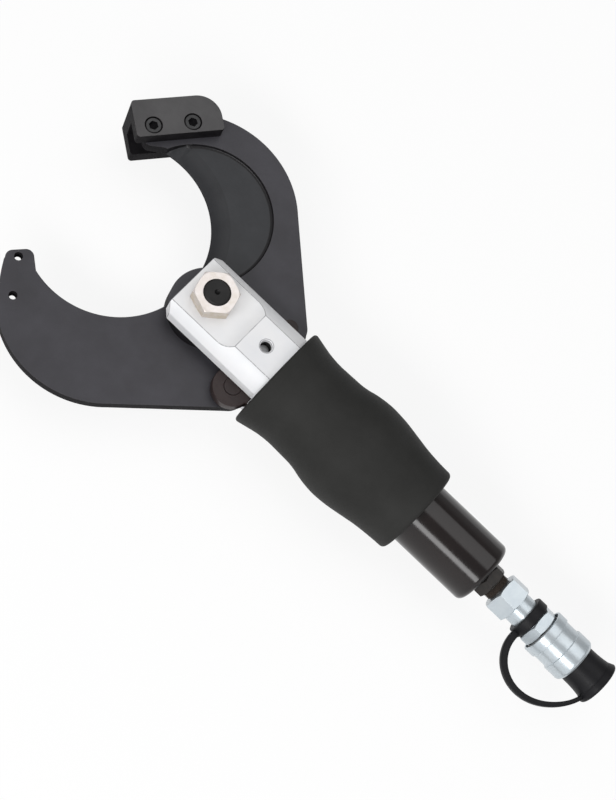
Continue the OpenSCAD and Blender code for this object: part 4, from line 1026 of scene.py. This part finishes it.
class CUTTER_OT_stage(bpy.types.Operator):
    """Lays the pale floor, sets the soft light and places the camera"""
    bl_idname = "cutter.stage"
    bl_label = "Stage"

    def execute(self, context):
        look = context.scene.cutter_stage
        scene = context.scene
        scene.view_settings.view_transform = "Standard"
        self.lay_floor(scene, look)
        self.room(scene, look)
        aim, strip = at(78.3, 3.5), math.radians(49.3)
        # A long strip beside the part gives the cylinder its bright line
        self.lamp(scene, "strip_light", aim, toward=(0, -math.sin(strip), math.cos(strip)),
                  reach=1.8, size=(1.9, 0.5), power=look.key)
        # A large dim light stands where the flat faces mirror the camera
        self.lamp(scene, "top_light", aim, toward=(0, math.sin(look.tilt), math.cos(look.tilt)),
                  reach=2.2, size=(2.5, 1.9), power=look.top)
        self.view(scene, look, aim, reach=0.978)
        return {"FINISHED"}

    def lay_floor(self, scene, look):
        """Sheet just below the part that reaches 6 m to each side."""
        gap, reach = 0.4 * MM, 6
        bm = bmesh.new()
        bmesh.ops.create_grid(bm, x_segments=1, y_segments=1, size=reach,
                              matrix=Matrix.Translation((0, 0, CAD_BOX[0][2] - gap)))
        mesh = bpy.data.meshes.new("floor")
        bm.to_mesh(mesh)
        bm.free()
        mesh.materials.append(self.paper(look))
        floor = bpy.data.objects.new("floor", mesh)
        scene.collection.objects.link(floor)

    def view(self, scene, look, aim, reach):
        """Camera that leans about the part's long axis and is rolled to the photo's slant."""
        out = Vector((0, -math.sin(look.tilt), math.cos(look.tilt)))
        across = Vector((0, math.cos(look.tilt), math.sin(look.tilt)))
        right = Vector((math.cos(look.roll), 0, 0)) + math.sin(look.roll) * across
        up = Vector((-math.sin(look.roll), 0, 0)) + math.cos(look.roll) * across
        lens = bpy.data.cameras.new("view")
        lens.lens, lens.sensor_width = look.lens, 36
        camera = bpy.data.objects.new("view", lens)
        camera.matrix_world = (Matrix.Translation(aim + reach * out)
                               @ Matrix((right, up, out)).transposed().to_4x4())
        scene.collection.objects.link(camera)
        scene.camera = camera

    def lamp(self, scene, name, aim, toward, reach, size, power):
        """Area light that looks at the part from a direction, with its long side along the ram."""
        light = bpy.data.lights.new(name, "AREA")
        light.shape, light.energy = "RECTANGLE", power
        light.size, light.size_y = size
        out = Vector(toward).normalized()
        side = Vector(AXIS)
        lamp = bpy.data.objects.new(name, light)
        lamp.matrix_world = (Matrix.Translation(aim + out * reach)
                             @ Matrix((side, out.cross(side), out)).transposed().to_4x4())
        scene.collection.objects.link(lamp)

    def seen(self, tree):
        """One for camera, mirrored and transmitted rays, which see the white background."""
        path = add_node(tree, "ShaderNodeLightPath")
        either = add_node(tree, "ShaderNodeMath",
                          {0: path.outputs["Is Camera Ray"], 1: path.outputs["Is Glossy Ray"]},
                          operation="MAXIMUM")
        return add_node(tree, "ShaderNodeMath",
                        {0: either.outputs["Value"], 1: path.outputs["Is Transmission Ray"]},
                        operation="MAXIMUM").outputs["Value"]

    def paper(self, look):
        """Pale seamless paper: the camera sees it nearly white, and it keeps the part's shadow."""
        material = bpy.data.materials.new("pale_studio_paper")
        material.use_nodes = True
        tree = material.node_tree
        tree.nodes.clear()
        sheet = add_node(tree, "ShaderNodeBsdfDiffuse", {"Color": look.floor})
        white = add_node(tree, "ShaderNodeEmission", {"Color": WHITE, "Strength": 1.0})
        share = add_node(tree, "ShaderNodeMath", {0: self.seen(tree), 1: look.shown},
                         operation="MULTIPLY")
        shown = add_node(tree, "ShaderNodeMixShader",
                         {0: share.outputs["Value"], 1: sheet.outputs["BSDF"],
                          2: white.outputs["Emission"]})
        add_node(tree, "ShaderNodeOutputMaterial", {"Surface": shown.outputs["Shader"]})
        return material

    def room(self, scene, look):
        """Even room light, with a white backdrop where it is seen and a dim ceiling.

        A dark card on the far side takes a share of it away."""
        world = bpy.data.worlds.new("room")
        world.use_nodes = True
        tree = world.node_tree
        tree.nodes.clear()
        spot = add_node(tree, "ShaderNodeTexCoord").outputs["Generated"]
        parts = add_node(tree, "ShaderNodeSeparateXYZ", {"Vector": spot})
        wall = add_node(tree, "ShaderNodeMapRange",
                        {"Value": parts.outputs["Z"], "From Min": 0.3, "From Max": 0.75,
                         "To Min": 1.0, "To Max": 0.0})
        share = add_node(tree, "ShaderNodeMath", {0: self.seen(tree), 1: wall.outputs["Result"]},
                         operation="MULTIPLY")
        level = add_node(tree, "ShaderNodeMapRange",
                         {"Value": share.outputs["Value"], "To Min": look.world, "To Max": 1.0})
        card = add_node(tree, "ShaderNodeMapRange",
                        {"Value": parts.outputs["Y"], "From Min": 0.1, "From Max": 0.7,
                         "To Min": 1.0, "To Max": look.far})
        shaded = add_node(tree, "ShaderNodeMath",
                          {0: level.outputs["Result"], 1: card.outputs["Result"]},
                          operation="MULTIPLY")
        glow = add_node(tree, "ShaderNodeBackground",
                        {"Color": WHITE, "Strength": shaded.outputs["Value"]})
        add_node(tree, "ShaderNodeOutputWorld", {"Surface": glow.outputs["Background"]})
        scene.world = world


GROUPS = (("cutter_blades", CutterBlades), ("cutter_yoke", CutterYoke), ("cutter_ram", CutterRam),
          ("cutter_grip", CutterGrip), ("cutter_coupler", CutterCoupler),
          ("cutter_stage", CutterStage))
OPERATORS = (CUTTER_OT_blades, CUTTER_OT_guide, CUTTER_OT_yoke, CUTTER_OT_bolt, CUTTER_OT_links,
             CUTTER_OT_ram, CUTTER_OT_grip, CUTTER_OT_cylinder, CUTTER_OT_inlet,
             CUTTER_OT_coupler, CUTTER_OT_dust_cap, CUTTER_OT_stage)


class CUTTER_PT_sidebar(bpy.types.Panel):
    """Lists the pieces of the cutter head and their settings"""
    bl_idname = "CUTTER_PT_sidebar"
    bl_label = "Cutter head"
    bl_space_type = "VIEW_3D"
    bl_region_type = "UI"
    bl_category = "Cutter"

    def draw(self, context):
        for operator in OPERATORS:
            self.layout.operator(operator.bl_idname)
        for key, group in GROUPS:
            box = self.layout.box()
            for name in group.__annotations__:
                box.prop(getattr(context.scene, key), name)


def register():
    """Adds the settings, the operators and the panel."""
    for key, group in GROUPS:
        bpy.utils.register_class(group)
        setattr(bpy.types.Scene, key, bpy.props.PointerProperty(type=group))
    for item in OPERATORS + (CUTTER_PT_sidebar,):
        bpy.utils.register_class(item)


def unregister():
    """Takes the panel, the operators and the settings out again."""
    for item in (CUTTER_PT_sidebar,) + OPERATORS[::-1]:
        bpy.utils.unregister_class(item)
    for key, group in GROUPS[::-1]:
        delattr(bpy.types.Scene, key)
        bpy.utils.unregister_class(group)


def main():
    """Makes the stage and the pieces."""
    register()
    bpy.ops.cutter.stage()
    bpy.ops.cutter.blades()
    bpy.ops.cutter.guide()
    bpy.ops.cutter.yoke()
    bpy.ops.cutter.bolt()
    bpy.ops.cutter.links()
    bpy.ops.cutter.ram()
    bpy.ops.cutter.grip()
    bpy.ops.cutter.cylinder()
    bpy.ops.cutter.inlet()
    bpy.ops.cutter.coupler()
    bpy.ops.cutter.dust_cap()


if __name__ == "__main__":
    main()
